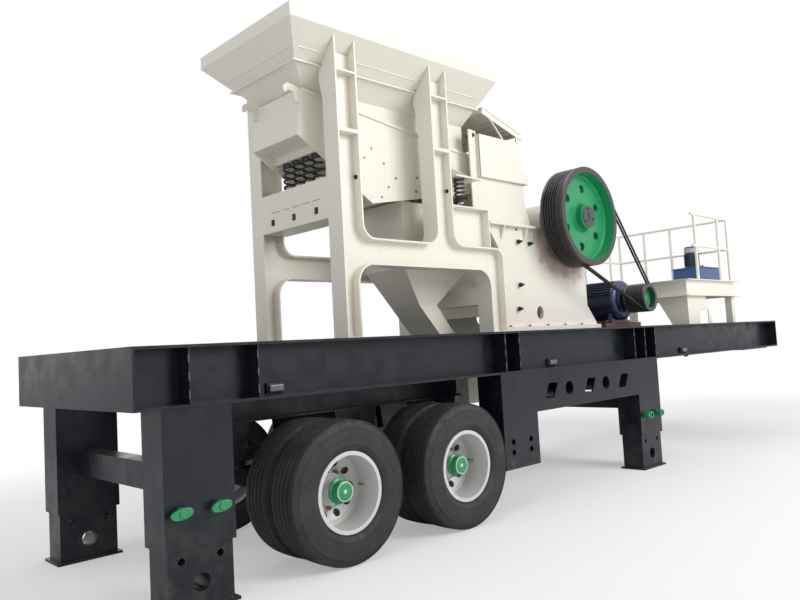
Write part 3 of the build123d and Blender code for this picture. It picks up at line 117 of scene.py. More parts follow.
class Surface(Tree):
    """A procedural material, built up node by node."""

    def __init__(self, name, roughness=0.5, metallic=0.0, coat=0.0, shine=0.5):
        self.material = bpy.data.materials.new(name)
        super().__init__(self.material)
        self.shader = self.nodes["Principled BSDF"]
        for socket, value in (("Roughness", roughness), ("Metallic", metallic), ("Coat Weight", coat),
                              ("Coat Roughness", 0.2), ("Specular IOR Level", shine)):
            self.put(self.shader.inputs[socket], value)
        self.place = self.node("TexCoord").outputs["Object"]

    def stretched(self, x, y, z):
        return self.node("Mapping", Vector=self.place, Scale=(x, y, z)).outputs["Vector"]

    def noise(self, scale, detail=3.0, rough=0.55, vector=None):
        node = self.node("TexNoise", Vector=vector or self.place, Scale=scale, Detail=detail, Roughness=rough)
        return node.outputs["Fac"]

    def remap(self, value, low, high, to_low=0.0, to_high=1.0):
        node = self.node("MapRange", Value=value, From_Min=low, From_Max=high, To_Min=to_low, To_Max=to_high)
        node.interpolation_type = "SMOOTHSTEP"
        return node.outputs["Result"]

    def part(self, name, vector=None):
        return self.node("SeparateXYZ", Vector=vector or self.place).outputs[name]

    def length(self, *parts):
        """Length of the vector with these two parts."""
        return self.math("SQRT", self.math("ADD", *[self.math("MULTIPLY", part, part) for part in parts]))

    def reach(self, centre):
        """Distance from an axis across the trailer."""
        gaps = [self.math("SUBTRACT", self.part(name), place) for name, place in zip("XZ", centre)]
        return self.length(*gaps)

    def mix(self, factor, one, two):
        node = self.node("Mix")
        node.data_type = "RGBA"
        self.put(node.inputs["Factor"], factor)
        for name, value in (("A", one), ("B", two)):
            self.put([s for s in node.inputs if s.name == name and s.type == "RGBA"][0], value)
        return [s for s in node.outputs if s.type == "RGBA"][0]

    def finished(self, colour, roughness, *bumps):
        """The material with its colour, roughness and bumps, each of a height, a strength and a distance."""
        self.put(self.shader.inputs["Base Color"], colour)
        self.put(self.shader.inputs["Roughness"], roughness)
        below = None
        for height, strength, distance in bumps:
            node = self.node("Bump", Height=height, Strength=strength, Distance=distance)
            if below:
                self.put(node.inputs["Normal"], below)
            below = node.outputs["Normal"]
        self.put(self.shader.inputs["Normal"], below)
        return self.material


ROAD_DUST = (128, 120, 108)


def paint(name, base, dirt, rough=0.42, spread=0.05, streaks=0.25, low_dust=0.0, coat=0.1, shine=0.5):
    """Sprayed steel paint: slight change of shade, dirt runs, orange peel and wavy plate."""
    s = Surface(name, coat=coat, shine=shine)
    colour = s.mix(s.noise(1.1, 4), linear(base, 1 - spread), linear(base, 1 + spread))
    runs = s.remap(s.noise(1.0, 5, 0.62, s.stretched(11, 11, 1.1)), 0.56, 0.80, 0, streaks)
    colour = s.mix(runs, colour, linear(dirt))
    specks = s.remap(s.noise(38, 3, 0.7), 0.66, 0.76, 0, streaks)
    colour = s.mix(specks, colour, linear(dirt, 0.7))
    if low_dust:
        above = s.remap(s.part("Z", s.node("NewGeometry").outputs["Normal"]), 0.3, 0.9, 0, low_dust)
        settled = s.math("MULTIPLY", above, s.remap(s.noise(5, 5, 0.6), 0.3, 0.65))
        near_ground = s.math("MULTIPLY", s.remap(s.part("Z"), 1.1, 0.0, 0, low_dust),
                             s.remap(s.noise(7, 5, 0.65), 0.4, 0.7))
        colour = s.mix(s.math("MAXIMUM", settled, near_ground), colour, linear(ROAD_DUST))
    rough = s.remap(s.noise(6, 3), 0.3, 0.7, rough - 0.07, rough + 0.1)
    return s.finished(colour, rough, (s.noise(2.6, 2), 0.25, 0.006), (s.noise(230, 2), 0.10, 0.0006))


def metal(name, base, rough, brushed=0.3):
    s = Surface(name, metallic=1.0)
    colour = s.mix(s.noise(14, 4), linear(base, 0.8), linear(base, 1.1))
    rough = s.remap(s.noise(30, 3, 0.6, s.stretched(1, 12, 1)), 0.3, 0.7, rough - 0.08, rough + 0.12)
    return s.finished(colour, rough, (s.noise(120, 3, 0.6, s.stretched(1, 8, 1)), brushed, 0.0004))


def rubber(name, base, dust, amount):
    s = Surface(name)
    film = s.remap(s.noise(5, 6, 0.65), 0.42, 0.72, 0, amount)
    colour = s.mix(film, linear(base), linear(dust))
    colour = s.mix(s.remap(s.noise(60, 2), 0.4, 0.7, 0, 0.25), colour, linear(base, 0.6))
    return s.finished(colour, s.remap(s.noise(20, 3), 0.3, 0.7, 0.58, 0.78), (s.noise(90, 3), 0.25, 0.0012))


def parted(name, centre, edge, inside, outside):
    """Two paints that meet at a radius round an axis, as on a machined and painted wheel."""
    s = Surface(name, coat=0.15)
    paler = s.mix(s.noise(2.5, 4), linear(inside, 0.88), linear(inside, 1.12))
    bare = s.mix(s.noise(9, 5, 0.6), linear(outside, 0.75), linear(outside, 1.25))
    colour = s.mix(s.remap(s.reach(centre), edge - 0.0006, edge + 0.0006), paler, bare)
    return s.finished(colour, s.remap(s.noise(7, 4), 0.3, 0.7, 0.28, 0.48), (s.noise(180, 3), 0.12, 0.0006))


def flywheel_shadowed(name, centre, clean, dust, full, none):
    """Paint with a shadow painted round an axis, full up to one radius and gone from the other."""
    s = Surface(name)
    # The colour passed in as dust is painted shade, the flywheel's shadow on the plate, ragged at its edge;
    # the roughness follows the same mask.
    ragged = s.math("ADD", s.reach(centre), s.math("MULTIPLY", s.noise(5, 5, 0.6), 0.5))
    even = s.mix(s.noise(2.5, 4), linear(clean, 0.97), linear(clean, 1.01))
    colour = s.mix(s.remap(ragged, full, none), linear(dust), even)
    return s.finished(colour, s.remap(ragged, full, none, 0.75, 0.38), (s.noise(180, 3), 0.12, 0.0006))


CREAM = (231, 227, 214)
GREEN = (14, 140, 84)
LOOKS = {
    "cream": paint("cream_paint", CREAM, (182, 172, 150), 0.36, 0.02, 0.16),
    "navy": paint("navy_paint", (20, 23, 32), (50, 50, 54), 0.30, 0.16, 0.14, 0.16, 0.0, 0.36),
    "green": paint("green_paint", GREEN, (10, 82, 50), 0.34, 0.08, 0.25, 0.0, 0.3),
    "blue": paint("blue_paint", (38, 82, 134), (24, 44, 72), 0.36, 0.10, 0.30, 0.0, 0.3),
    "motor": paint("motor_blue", (27, 34, 72), (60, 62, 84), 0.34, 0.14, 0.30, 0.2, 0.3),
    # Paler violet for the motor's end ring: partly its own paint, partly a painted highlight on the rounded
    # rim.
    "violet_and_highlight": paint("motor_violet_and_highlight", (50, 53, 98), (36, 38, 70), 0.34, 0.12, 0.30, 0.0, 0.3),
    "pump": paint("pump_blue", (44, 56, 80), (28, 34, 48), 0.40, 0.12, 0.30),
    "grey": paint("cowl_grey", (168, 170, 176), (120, 120, 122), 0.42, 0.06, 0.30),
    "dark": paint("rim_grey", (66, 60, 64), (96, 82, 74), 0.45, 0.12, 0.35),
    "red": paint("rail_primer", (104, 54, 46), (74, 44, 38), 0.60, 0.10, 0.35),
    "silver": paint("wheel_silver", (205, 205, 202), (140, 130, 118), 0.38, 0.04, 0.35),
    "black": paint("black_paint", (26, 27, 30), (58, 54, 50), 0.40, 0.15, 0.30),
    "weld": paint("weld_grey", (92, 96, 104), (60, 60, 64), 0.45, 0.15, 0.30),
    # Dark brown-grey that stands for the shadow line in the crossbeam's seam: painted shade.
    "seam": paint("seam_shadow_paint", (112, 102, 90), (84, 74, 64), 0.60, 0.15, 0.30),
    "lens": paint("lamp_lens", (92, 94, 98), (60, 58, 56), 0.25, 0.10, 0.25, 0.0, 0.6),
    "wheel": parted("flywheel_paint", SHAFT, FLY_INNER - PAINT_EDGE, GREEN, (52, 49, 51)),
    # Crusher sides: cream, with the flywheel's shadow painted in pinkish grey round the shaft.
    "flywheel_shadowed": flywheel_shadowed("flywheel_shadow_side_paint", SHAFT, CREAM, (186, 164, 158), 0.84, 1.04),
    # Darker cream for the bearings behind the flywheel: painted shade there, with dust runs on top.
    "dusty": paint("shaded_dusty_cream", (176, 158, 138), (132, 110, 94), 0.65, 0.45, 0.40),
    "drum": parted("pulley_paint", MOTOR, PULLEY_RADIUS - PULLEY_WALL - PAINT_EDGE, GREEN, (56, 58, 60)),
    "steel": metal("bare_steel", (150, 147, 142), 0.34),
    "iron": metal("jaw_iron", (120, 114, 106), 0.55, 0.6),
    "zinc": metal("zinc_bolts", (160, 158, 150), 0.36),
    "belt": rubber("belt_rubber", (24, 24, 25), (58, 55, 52), 0.25),
    "tyre": rubber("tyre_rubber", (33, 31, 32), (76, 68, 64), 0.34),
}

BY_SLOT = {
    "chassis_paint": "navy", "cream_paint": "cream", "green_paint": "green", "flywheel_paint": "dark",
    "blue_paint": "blue", "rail_paint": "red", "rim_paint": "silver", "tyre": "tyre", "belt_rubber": "belt",
    "bare_steel": "steel", "spring_steel": "black", "jaw_iron": "iron",
}
# The shaft bearings take the darker cream, which is painted shade with dust.
NODE_LOOKS = {"pump_motor": "pump", "shaft_bearings": "dusty"}


# Mesh tools
def soften(obj, width, segments=2):
    """Rounds the sharp edges of a mesh without changing where its faces lie."""
    bevel = obj.modifiers.new("edge_round", "BEVEL")
    bevel.width = width
    bevel.segments = segments
    bevel.limit_method = "ANGLE"
    bevel.angle_limit = radians(40)
    bevel.harden_normals = True
    bevel.use_clamp_overlap = True


def placed(name, data):
    """Object in the scene from a light, a camera or a bmesh, which is used up."""
    if isinstance(data, bmesh.types.BMesh):
        mesh = bpy.data.meshes.new(name)
        data.to_mesh(mesh)
        data.free()
        data = mesh
    obj = bpy.data.objects.new(name, data)
    bpy.context.scene.collection.objects.link(obj)
    return obj


def piece(name, bm, look, body="trailer", smooth=35, soft=None):
    """Object from a bmesh in the row frame, riding on a body."""
    bmesh.ops.recalc_face_normals(bm, faces=bm.faces)
    obj = placed(name, bm)
    obj.data.materials.append(LOOKS[look])
    if smooth:
        obj.data.shade_smooth()
        obj.data.set_sharp_from_angle(angle=radians(smooth))
    if soft:
        soften(obj, soft)
    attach(obj, body)
    return obj


def meshes(count):
    return [bmesh.new() for _ in range(count)]


def join_rings(bm, rings, closed=False):
    """Skin over rings of vertices, capped at both ends unless it closes on itself."""
    if not closed:
        bm.faces.new(rings[0])
        bm.faces.new(rings[-1])
    for one, two in zip(rings, rings[1:] + rings[:closed]):
        for k in range(len(one)):
            after = (k + 1) % len(one)
            bm.faces.new((one[k], one[after], two[after], two[k]))


def add_prism(bm, points, direction, length):
    """Closed prism over a flat ring of points."""
    low = [bm.verts.new(point) for point in points]
    shift = Vector(direction).normalized() * length
    join_rings(bm, [low, [bm.verts.new(Vector(point) + shift) for point in points]])


def add_block(bm, x, y, z):
    corners = [(x[0], y[0], z[0]), (x[1], y[0], z[0]), (x[1], y[1], z[0]), (x[0], y[1], z[0])]
    add_prism(bm, corners, (0, 0, 1), z[1] - z[0])


def add_side_block(bm, side, x, y, z):
    """Block on one side of the trailer, y being its two distances from the middle."""
    add_block(bm, x, sorted((side * y[0], side * y[1])), z)


def add_plate(bm, points, y, thick):
    """Upright plate along the trailer over (x, z) points, from y by a signed thickness."""
    add_prism(bm, [(x, y, z) for x, z in points], (0, 1 if thick > 0 else -1, 0), abs(thick))


def frame_of(direction):
    """Two directions square to the given one and to each other."""
    direction = Vector(direction).normalized()
    other = Vector((0, 0, 1)) if abs(direction.z) < 0.9 else Vector((1, 0, 0))
    side = direction.cross(other).normalized()
    return side, direction.cross(side).normalized()


def add_round(bm, centre, direction, radius, length, sides, turn=0.0, top=None):
    """Prism with a round or many-sided section, or a cone where top gives another radius."""
    side, up = frame_of(direction)
    centre = Vector(centre)
    shift = Vector(direction).normalized() * length
    spokes = [side * across + up * over for _, across, over in around((0, 0), 1, sides, turn)]
    ends = ((centre, radius), (centre + shift, radius if top is None else top))
    join_rings(bm, [[bm.verts.new(place + spoke * size) for spoke in spokes] for place, size in ends])


def add_bolt(bm, centre, direction, size):
    """Hexagon head on a washer, with the end of its screw."""
    direction = Vector(direction).normalized()
    centre = Vector(centre) - direction * SINK
    add_round(bm, centre, direction, size * 1.05, size * 0.22, 18)
    add_round(bm, centre + direction * size * 0.2, direction, size * 0.88, size * 0.62, 6, 0.3)
    add_round(bm, centre + direction * size * 0.8, direction, size * 0.46, size * 0.22, 10)


def around(centre, radius, count, turn=0.0):
    """Angle, x and z of places spaced evenly on an upright circle along the trailer."""
    for k in range(count):
        angle = turn + 2 * pi * k / count
        yield angle, centre[0] + radius * cos(angle), centre[1] + radius * sin(angle)


def add_lathe(bm, profile, centre, segments=96, side=1, start=0.0):
    """Turns a closed profile of (radius, y) points about an axis across the trailer."""
    join_rings(bm, [[bm.verts.new((x, start + side * y, z)) for _, x, z in around(centre, radius, segments)]
                    for radius, y in profile], closed=True)


def add_sweep(bm, points, section, up):
    """Sweeps a ring of (side, up) offsets along points; up is kept as near as it can be."""
    points = [Vector(point) for point in points]
    last = len(points) - 1
    rings = []
    for k, point in enumerate(points):
        ahead = (points[min(k + 1, last)] - points[max(k - 1, 0)]).normalized()
        side = ahead.cross(Vector(up)).normalized()
        over = side.cross(ahead).normalized()
        rings.append([bm.verts.new(point + side * a + over * b) for a, b in section])
    join_rings(bm, rings)


def ring_section(radius, sides=8):
    return [(across, up) for _, across, up in around((0, 0), radius, sides)]


def add_fins(bm, origin, up, axis, length, count, root, tip):
    """Cooling fins round an axis; root and tip are each a radius and half a thickness."""
    origin, flat, up = Vector(origin), Vector((1, 0, 0)), Vector(up)
    for k in range(count):
        angle = 2 * pi * k / count
        out, across = flat * cos(angle) + up * sin(angle), up * cos(angle) - flat * sin(angle)
        low, high = origin + out * root[0], origin + out * tip[0]
        add_prism(bm, [low - across * root[1], high - across * tip[1], high + across * tip[1],
                       low + across * root[1]], axis, length)


def carved(bm, cutter):
    """The first mesh less the second."""
    objects = []
    for part in (bm, cutter):
        bmesh.ops.recalc_face_normals(part, faces=part.faces)
        objects.append(placed("carve", part))
    modifier = objects[0].modifiers.new("carve", "BOOLEAN")
    modifier.object = objects[1]
    modifier.operation = "DIFFERENCE"
    modifier.solver = "EXACT"
    result = bmesh.new()
    result.from_object(objects[0], bpy.context.evaluated_depsgraph_get())
    for obj in objects:
        bpy.data.meshes.remove(obj.data)
    return result


# Paint on the CAD pieces
SOFT_EDGES = {"cream": 0.004, "navy": 0.004, "blue": 0.004, "red": 0.004, "silver": 0.003, "pump": 0.003}
for entry in frame["record"]["subparts"]:
    look = NODE_LOOKS.get(entry["node"], BY_SLOT[entry["material_slot"]])
    cad = NODES[entry["node"]]
    cad.data.materials.clear()
    cad.data.materials.append(LOOKS[look])
    if look in SOFT_EDGES:
        soften(cad, SOFT_EDGES[look], 1)


# Places on the CAD pieces
FEEDER_PLACE = (-3.377, 3.927)
FEEDER_TILT = radians(7.35)
TREES = {}


def landing(node, start, direction):
    """Point where a straight line first meets a CAD piece, or None."""
    if node not in TREES:
        bm = bmesh.new()
        bm.from_mesh(NODES[node].data)
        TREES[node] = BVHTree.FromBMesh(bm)
        bm.free()
    return TREES[node].ray_cast(Vector(start), Vector(direction))[0]


def on_side(node, x, z, side):
    """Point of a piece that shows at x and z from one side of the trailer."""
    return landing(node, (x, 3 * side, z), (0, -side, 0))


def on_feeder(along, up):
    """x and z of a place given along the feeder's sloping top edge and square to it."""
    return (FEEDER_PLACE[0] + along * cos(FEEDER_TILT) + up * sin(FEEDER_TILT),
            FEEDER_PLACE[1] - along * sin(FEEDER_TILT) + up * cos(FEEDER_TILT))


# Wheels
TYRE_PLACES = (1.050, 0.710)
TYRE_HALF = (
    (0.286, 0.112), (0.308, 0.115), (0.316, 0.128), (0.330, 0.138), (0.352, 0.1450), (0.356, 0.1475),
    (0.362, 0.1475), (0.366, 0.1465), (0.395, 0.1492), (0.420, 0.150), (0.450, 0.1485), (0.470, 0.1455),
    (0.474, 0.1465), (0.480, 0.1460), (0.484, 0.1415), (0.500, 0.1355), (0.516, 0.1285), (0.524, 0.1255),
    (0.526, 0.1300), (0.531, 0.1285), (0.5345, 0.1230), (0.5365, 0.112), (0.5378, 0.078), (0.526, 0.076),
    (0.526, 0.069), (0.5388, 0.067), (0.5395, 0.030), (0.527, 0.028), (0.527, 0.021), (0.5398, 0.020),
)
NUT_CIRCLE, NUT_FACE, NUT_COUNT = 0.140, 0.890, 10
VALVE = ((0.268, 0.94), (0.262, 0.98), (0.255, 1.02))
CAP_FLANGE = ((0.079, 1.028), (0.100, 1.028), (0.100, 1.042), (0.079, 1.050))
CAP_DOME = ((0.0, 1.108), (0.040, 1.113), (0.064, 1.112), (0.078, 1.104), (0.079, 1.040), (0.0, 1.040))
CAP_BOLT_CIRCLE, CAP_BOLT_FACE, CAP_BOLT_COUNT = 0.090, 1.042, 8


def build_wheels():
    """Highway tyres with four tread grooves, wheel nuts, the valve, and the hub cap with its bolts."""
    profile = [*TYRE_HALF, *((radius, -y) for radius, y in reversed(TYRE_HALF))]
    for hand, side in (("near", -1), ("far", 1)):
        for number, x in enumerate(AXLES, 1):
            body, hub, out = f"wheel_{hand}_{number}", (x, WHEEL_HEIGHT), (0, side, 0)
            tyres, nuts, cap = meshes(3)
            for y in TYRE_PLACES:
                add_lathe(tyres, profile, hub, 112, start=side * y)
            for angle, along, up in around(hub, NUT_CIRCLE, NUT_COUNT, pi / NUT_COUNT):
                place = (along, side * NUT_FACE, up)
                add_round(nuts, place, out, 0.024, 0.008, 18)
                add_round(nuts, place, out, 0.0175, 0.036, 6, angle)
                add_round(nuts, place, out, 0.011, 0.048, 10)
            valve = [(x + reach, side * y, WHEEL_HEIGHT) for reach, y in VALVE]
            add_sweep(nuts, valve, ring_section(0.006), up=(0, 0, 1))
            for outline in (CAP_FLANGE, CAP_DOME):
                add_lathe(cap, outline, hub, 48, side)
            for _, along, up in around(hub, CAP_BOLT_CIRCLE, CAP_BOLT_COUNT):
                add_bolt(cap, (along, side * CAP_BOLT_FACE, up), out, 0.009)
            tyres = piece(f"treaded_tyres_{hand}_{number}", tyres, "tyre", body, smooth=32)
            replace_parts(tyres, f"tyres_{hand}_{number}")
            piece(f"wheel_nuts_{hand}_{number}", nuts, "zinc", body)
            piece(f"hub_cap_{hand}_{number}", cap, "green", body)


# Coil springs, in rows of (x, y) places, foot height and pitch
SPRING_RADIUS, SPRING_WIRE = 0.060, 0.022
SPRING_STEPS, FLAT_TURN = 22, 0.6
SPRING_ROWS = (
    ([(-3.121, y) for y in (-0.225, -0.075, 0.075, 0.225)], 3.115, 0.050),
    ([(-1.619, y) for y in (-0.605, 0.605)], 2.975, 0.040),
)
CUP_RADIUS, LOW_CUP, HIGH_CUP = 0.033, 0.068, 0.030


def coil(x, y, low, high, pitch):
    """Points along the wire of a spring whose end turns lie flat."""
    turns = (high - low) / pitch
    count = int(turns * SPRING_STEPS)
    radius = SPRING_RADIUS - SPRING_WIRE / 2
    points = []
    for k in range(count + 1):
        turn = turns * k / count
        level = min(1.0, max(0.0, (turn - FLAT_TURN) / (turns - 2 * FLAT_TURN)))
        points.append((x + radius * cos(2 * pi * turn), y + radius * sin(2 * pi * turn),
                       low + SPRING_WIRE / 2 + (high - low - SPRING_WIRE) * level))
    return points


def build_springs():
    """Coil springs between the frame and the feeder's seats, with the round cups that hold their ends."""
    coils, cups = meshes(2)
    for places, low, pitch in SPRING_ROWS:
        for x, y in places:
            high = landing("spring_seats", (x, y, low + 0.1), (0, 0, 1)).z
            wire = coil(x, y, low, high, pitch)
            add_sweep(coils, wire, ring_section(SPRING_WIRE / 2, 10), up=(0.001, 0.002, 1))
            add_round(cups, (x, y, low), (0, 0, 1), CUP_RADIUS, LOW_CUP, 32)
            add_round(cups, (x, y, high - HIGH_CUP), (0, 0, 1), CUP_RADIUS, HIGH_CUP, 32)
    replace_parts(piece("spring_coils", coils, "black", smooth=60), "coil_springs")
    piece("spring_cups", cups, "cream")


# Crusher sides
CRUSHER_X, CRUSHER_TOP, CRUSHER_SIDE, CRUSHER_PLATE = (-0.850, 0.810), 2.890, 0.480, 0.050
BEARING_SEAT, BEARING_RADIUS = 0.250, 0.190
FLARE_REACH, FLARE_DEPTH = 0.235, 0.320
REAR_LEDGE, REAR_LEDGE_TOP, REAR_SLOPE_TOP, REAR_SHOULDER = 0.190, 1.771, 1.987, 2.433
BASE_LEDGE, BASE_FACE, BASE_THICK = 0.060, 0.540, 0.060
MOUTH_FACE, MOUTH_THICK, MOUTH_END = 0.550, 0.025, -0.261
GUSSET_PLACES, GUSSET_DEPTH, GUSSET_THICK = (-0.840, -0.424), 0.165, 0.016
OVAL_HOLE, OVAL_RADII, OVAL_SIDES = (-0.192, 1.902), (0.062, 0.076), 40
CUT_MARGIN = 0.010


def build_crusher_sides():
    """Side plates flared at the mouth, with an oval hole, the bearing's seat, flanges and gussets; their
    paint carries the flywheel's shadow, painted round the shaft.
    """
    x0, x1 = CRUSHER_X
    seat0, seat1 = SHAFT[0] - BEARING_SEAT, SHAFT[0] + BEARING_SEAT
    outline = [(x0, DECK), (x1 + REAR_LEDGE, DECK), (x1 + REAR_LEDGE, REAR_LEDGE_TOP), (x1, REAR_SLOPE_TOP),
               (x1, REAR_SHOULDER), (seat1, CRUSHER_TOP), (seat1, SHAFT[1]), (seat0, SHAFT[1]),
               (seat0, CRUSHER_TOP), (x0 - FLARE_REACH, CRUSHER_TOP), (x0, CRUSHER_TOP - FLARE_DEPTH)]
    oval = [(OVAL_HOLE[0] + OVAL_RADII[0] * across, OVAL_HOLE[1] + OVAL_RADII[1] * up)
            for _, across, up in around((0, 0), 1, OVAL_SIDES)]
    inner, cut = CRUSHER_SIDE - CRUSHER_PLATE - CUT_MARGIN, CRUSHER_PLATE + 2 * CUT_MARGIN
    plates, holes = meshes(2)
    for side in SIDES:
        add_plate(plates, outline, side * CRUSHER_SIDE, -side * CRUSHER_PLATE)
        add_plate(holes, oval, side * (CRUSHER_SIDE + CUT_MARGIN), -side * cut)
        add_round(holes, (SHAFT[0], side * inner, SHAFT[1]), (0, side, 0), BEARING_RADIUS, cut, 64)
    plates = carved(plates, holes)
    sunk, low = CRUSHER_SIDE - SINK, CRUSHER_TOP - MOUTH_THICK
    for side in SIDES:
        add_side_block(plates, side, (x0 - BASE_LEDGE, x1 + REAR_LEDGE), (BASE_FACE, sunk),
                       (DECK, DECK + BASE_THICK))
        add_side_block(plates, side, (x0 - FLARE_REACH, MOUTH_END), (MOUTH_FACE, sunk), (low, CRUSHER_TOP))
        for x in GUSSET_PLACES:
            add_prism(plates, [(x, side * sunk, low - GUSSET_DEPTH), (x, side * sunk, low),
                               (x, side * (MOUTH_FACE - 2 * SINK), low)], (1, 0, 0), GUSSET_THICK)
    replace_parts(piece("crusher_side_plates", plates, "flywheel_shadowed", smooth=30, soft=0.003), "crusher_sides")


# Feed hood and its cover
HOOD_BOX_X, HOOD_NECK_X = (-1.157, -0.425), (-1.278, -0.360)
HOOD_HALF, NECK_HALF, HOOD_INLET, HOOD_PLATE = 0.525, 0.480, 0.385, 0.014
HOOD_LEDGE, HOOD_TOP, NECK_FOOT, HOOD_SILL = 3.372, 3.837, 3.170, 3.085
LEDGE_END, LEDGE_TOP = -0.314, 3.483
WING_TOP, WING_CORNER, WING_LIP, WING_LIP_FOOT = 3.875, 0.085, 0.052, 3.020
COVER_END, COVER_LENGTH, COVER_GAP, COVER_SLOPE = -0.396, 0.684, 0.036, radians(16.2)
RAIL_DEPTH, RAIL_FLANGE, RAIL_PLATE, SHEET_PLATE = 0.068, 0.045, 0.008, 0.006
SLAT_COUNT, SLAT_START, SLAT_PLATE, SLAT_DEPTH, SLAT_TOP = 8, 0.3, 0.010, 0.040, 0.004
BRACE_HEAD, BRACE_FOOT, POST = (-0.954, -0.930), (-0.742, -0.716), (-0.502, -0.476)


def build_hood():
    """Feed hood of welded plate: box on a projecting ledge, and a neck with wing plates and a flared foot."""
    x0, x1 = HOOD_BOX_X
    n0, n1 = HOOD_NECK_X
    mouth, end = CRUSHER_X[0] - FLARE_REACH, LEDGE_END - SINK
    wall, half, neck = HOOD_PLATE, HOOD_HALF - 2 * SINK, NECK_HALF - 2 * SINK
    bm = bmesh.new()
    box_side = [(x0, HOOD_LEDGE), (LEDGE_END, HOOD_LEDGE), (LEDGE_END, LEDGE_TOP), (x1, LEDGE_TOP),
                (x1, HOOD_TOP), (x0, HOOD_TOP)]
    neck_side = [(n0, CRUSHER_TOP + WING_CORNER), (mouth, CRUSHER_TOP), (MOUTH_END, CRUSHER_TOP),
                 (n1, NECK_FOOT), (n1, HOOD_LEDGE), (x0, HOOD_LEDGE), (x0, WING_TOP), (n0, WING_TOP)]
    for side in SIDES:
        add_plate(bm, box_side, side * HOOD_HALF, -side * wall)
        add_plate(bm, neck_side, side * NECK_HALF, -side * wall)
        for x, y, z in (
            ((x0, x0 + wall), (HOOD_INLET, half), (HOOD_LEDGE + SINK, HOOD_TOP - SINK)),
            ((x0, x0 + wall), (HOOD_INLET, neck), (HOOD_SILL, HOOD_LEDGE)),
            ((x0 + SINK, end), (NECK_HALF - wall, half), (HOOD_LEDGE + SINK, HOOD_LEDGE + wall)),
            ((n0 - 0.004, n0 + WING_LIP), (neck, NECK_HALF + 0.010), (WING_LIP_FOOT, WING_TOP + SINK)),
        ):
            add_side_block(bm, side, x, y, z)
    for x, y, z in (
        ((x1 - wall, x1 - SINK), half, (LEDGE_TOP - wall, HOOD_TOP - SINK)),
        ((x1 - wall, end), half, (LEDGE_TOP - wall, LEDGE_TOP - SINK)),
        ((LEDGE_END - wall, end), half, (HOOD_LEDGE + SINK, LEDGE_TOP - SINK)),
        ((n1, end), neck, (HOOD_LEDGE + SINK, HOOD_LEDGE + wall)),
        ((n1 - wall, n1 - SINK), neck, (NECK_FOOT, LEDGE_TOP - 2 * SINK)),
    ):
        add_block(bm, x, (-y, y), z)
    for slope in (
        [(MOUTH_END - SINK, CRUSHER_TOP), (n1 - SINK, NECK_FOOT), (n1 - wall, NECK_FOOT),
         (MOUTH_END - wall, CRUSHER_TOP)],
        [(mouth + SINK, CRUSHER_TOP), (mouth + wall, CRUSHER_TOP), (x0 + wall, HOOD_SILL),
         (x0 + SINK, HOOD_SILL)],
    ):
        add_plate(bm, slope, -neck, 2 * neck)
    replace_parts(piece("plate_hood", bm, "cream", smooth=0, soft=0.002), "feed_hood")


def slanting(x, up):
    """Point at a height over the foot of the cover's rails."""
    return x, HOOD_TOP + COVER_GAP + (COVER_END - x) * tan(COVER_SLOPE) + up


def strip(start, end, low, high):
    return [slanting(start, low), slanting(end, low), slanting(end, high), slanting(start, high)]


def build_cover():
    """Slanting cover over the hood: side rails, sheet on slats, a brace and a post on each side."""
    x0, x1 = COVER_END - COVER_LENGTH, COVER_END
    foot = HOOD_TOP - 0.010
    bm = bmesh.new()
    for side in SIDES:
        y, wall = side * HOOD_HALF, -side * HOOD_PLATE
        add_plate(bm, strip(x0, x1, 0, RAIL_DEPTH), y, wall)
        add_plate(bm, strip(x0, x1, RAIL_DEPTH - RAIL_PLATE, RAIL_DEPTH), y, -side * RAIL_FLANGE)
        for (a, b), (c, d) in ((BRACE_HEAD, BRACE_FOOT), (POST, POST)):
            add_plate(bm, [slanting(a, 0), slanting(b, 0), (d, foot), (c, foot)], y, wall)
    sheet, slat = HOOD_HALF - 2 * SINK, HOOD_HALF - 4 * SINK
    add_plate(bm, strip(x0, x1, RAIL_DEPTH - SHEET_PLATE, RAIL_DEPTH - SINK), -sheet, 2 * sheet)
    for number in range(SLAT_COUNT):
        x = x0 + (number + SLAT_START) * COVER_LENGTH / SLAT_COUNT
        face = strip(x, x + SLAT_PLATE, RAIL_DEPTH - SLAT_DEPTH, RAIL_DEPTH - SLAT_TOP)
        add_plate(bm, face, -slat, 2 * slat)
    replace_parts(piece("slatted_cover", bm, "cream", smooth=0, soft=0.0015), "hood_cover")


# Skirt of the fines hopper
SKIRT_HALF, SKIRT_TOP, SKIRT_PLATE = 0.290, 3.050, 0.008


def build_skirt():
    """Plates that carry the fines hopper up between the sides of the feeder's belly."""
    (x0, _, _), (x1, _, low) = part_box("fines_hopper")
    bm = bmesh.new()
    for side in SIDES:
        add_side_block(bm, side, (x0, x1), (SKIRT_HALF, SKIRT_HALF - SKIRT_PLATE), (low - SINK, SKIRT_TOP))
    inner = SKIRT_HALF - 2 * SINK
    for x in (x0 + SINK, x1 - SKIRT_PLATE - SINK):
        add_block(bm, (x, x + SKIRT_PLATE), (-inner, inner), (low - SINK, SKIRT_TOP - SINK))
    piece("fines_skirt", bm, "cream", smooth=0, soft=0.001)


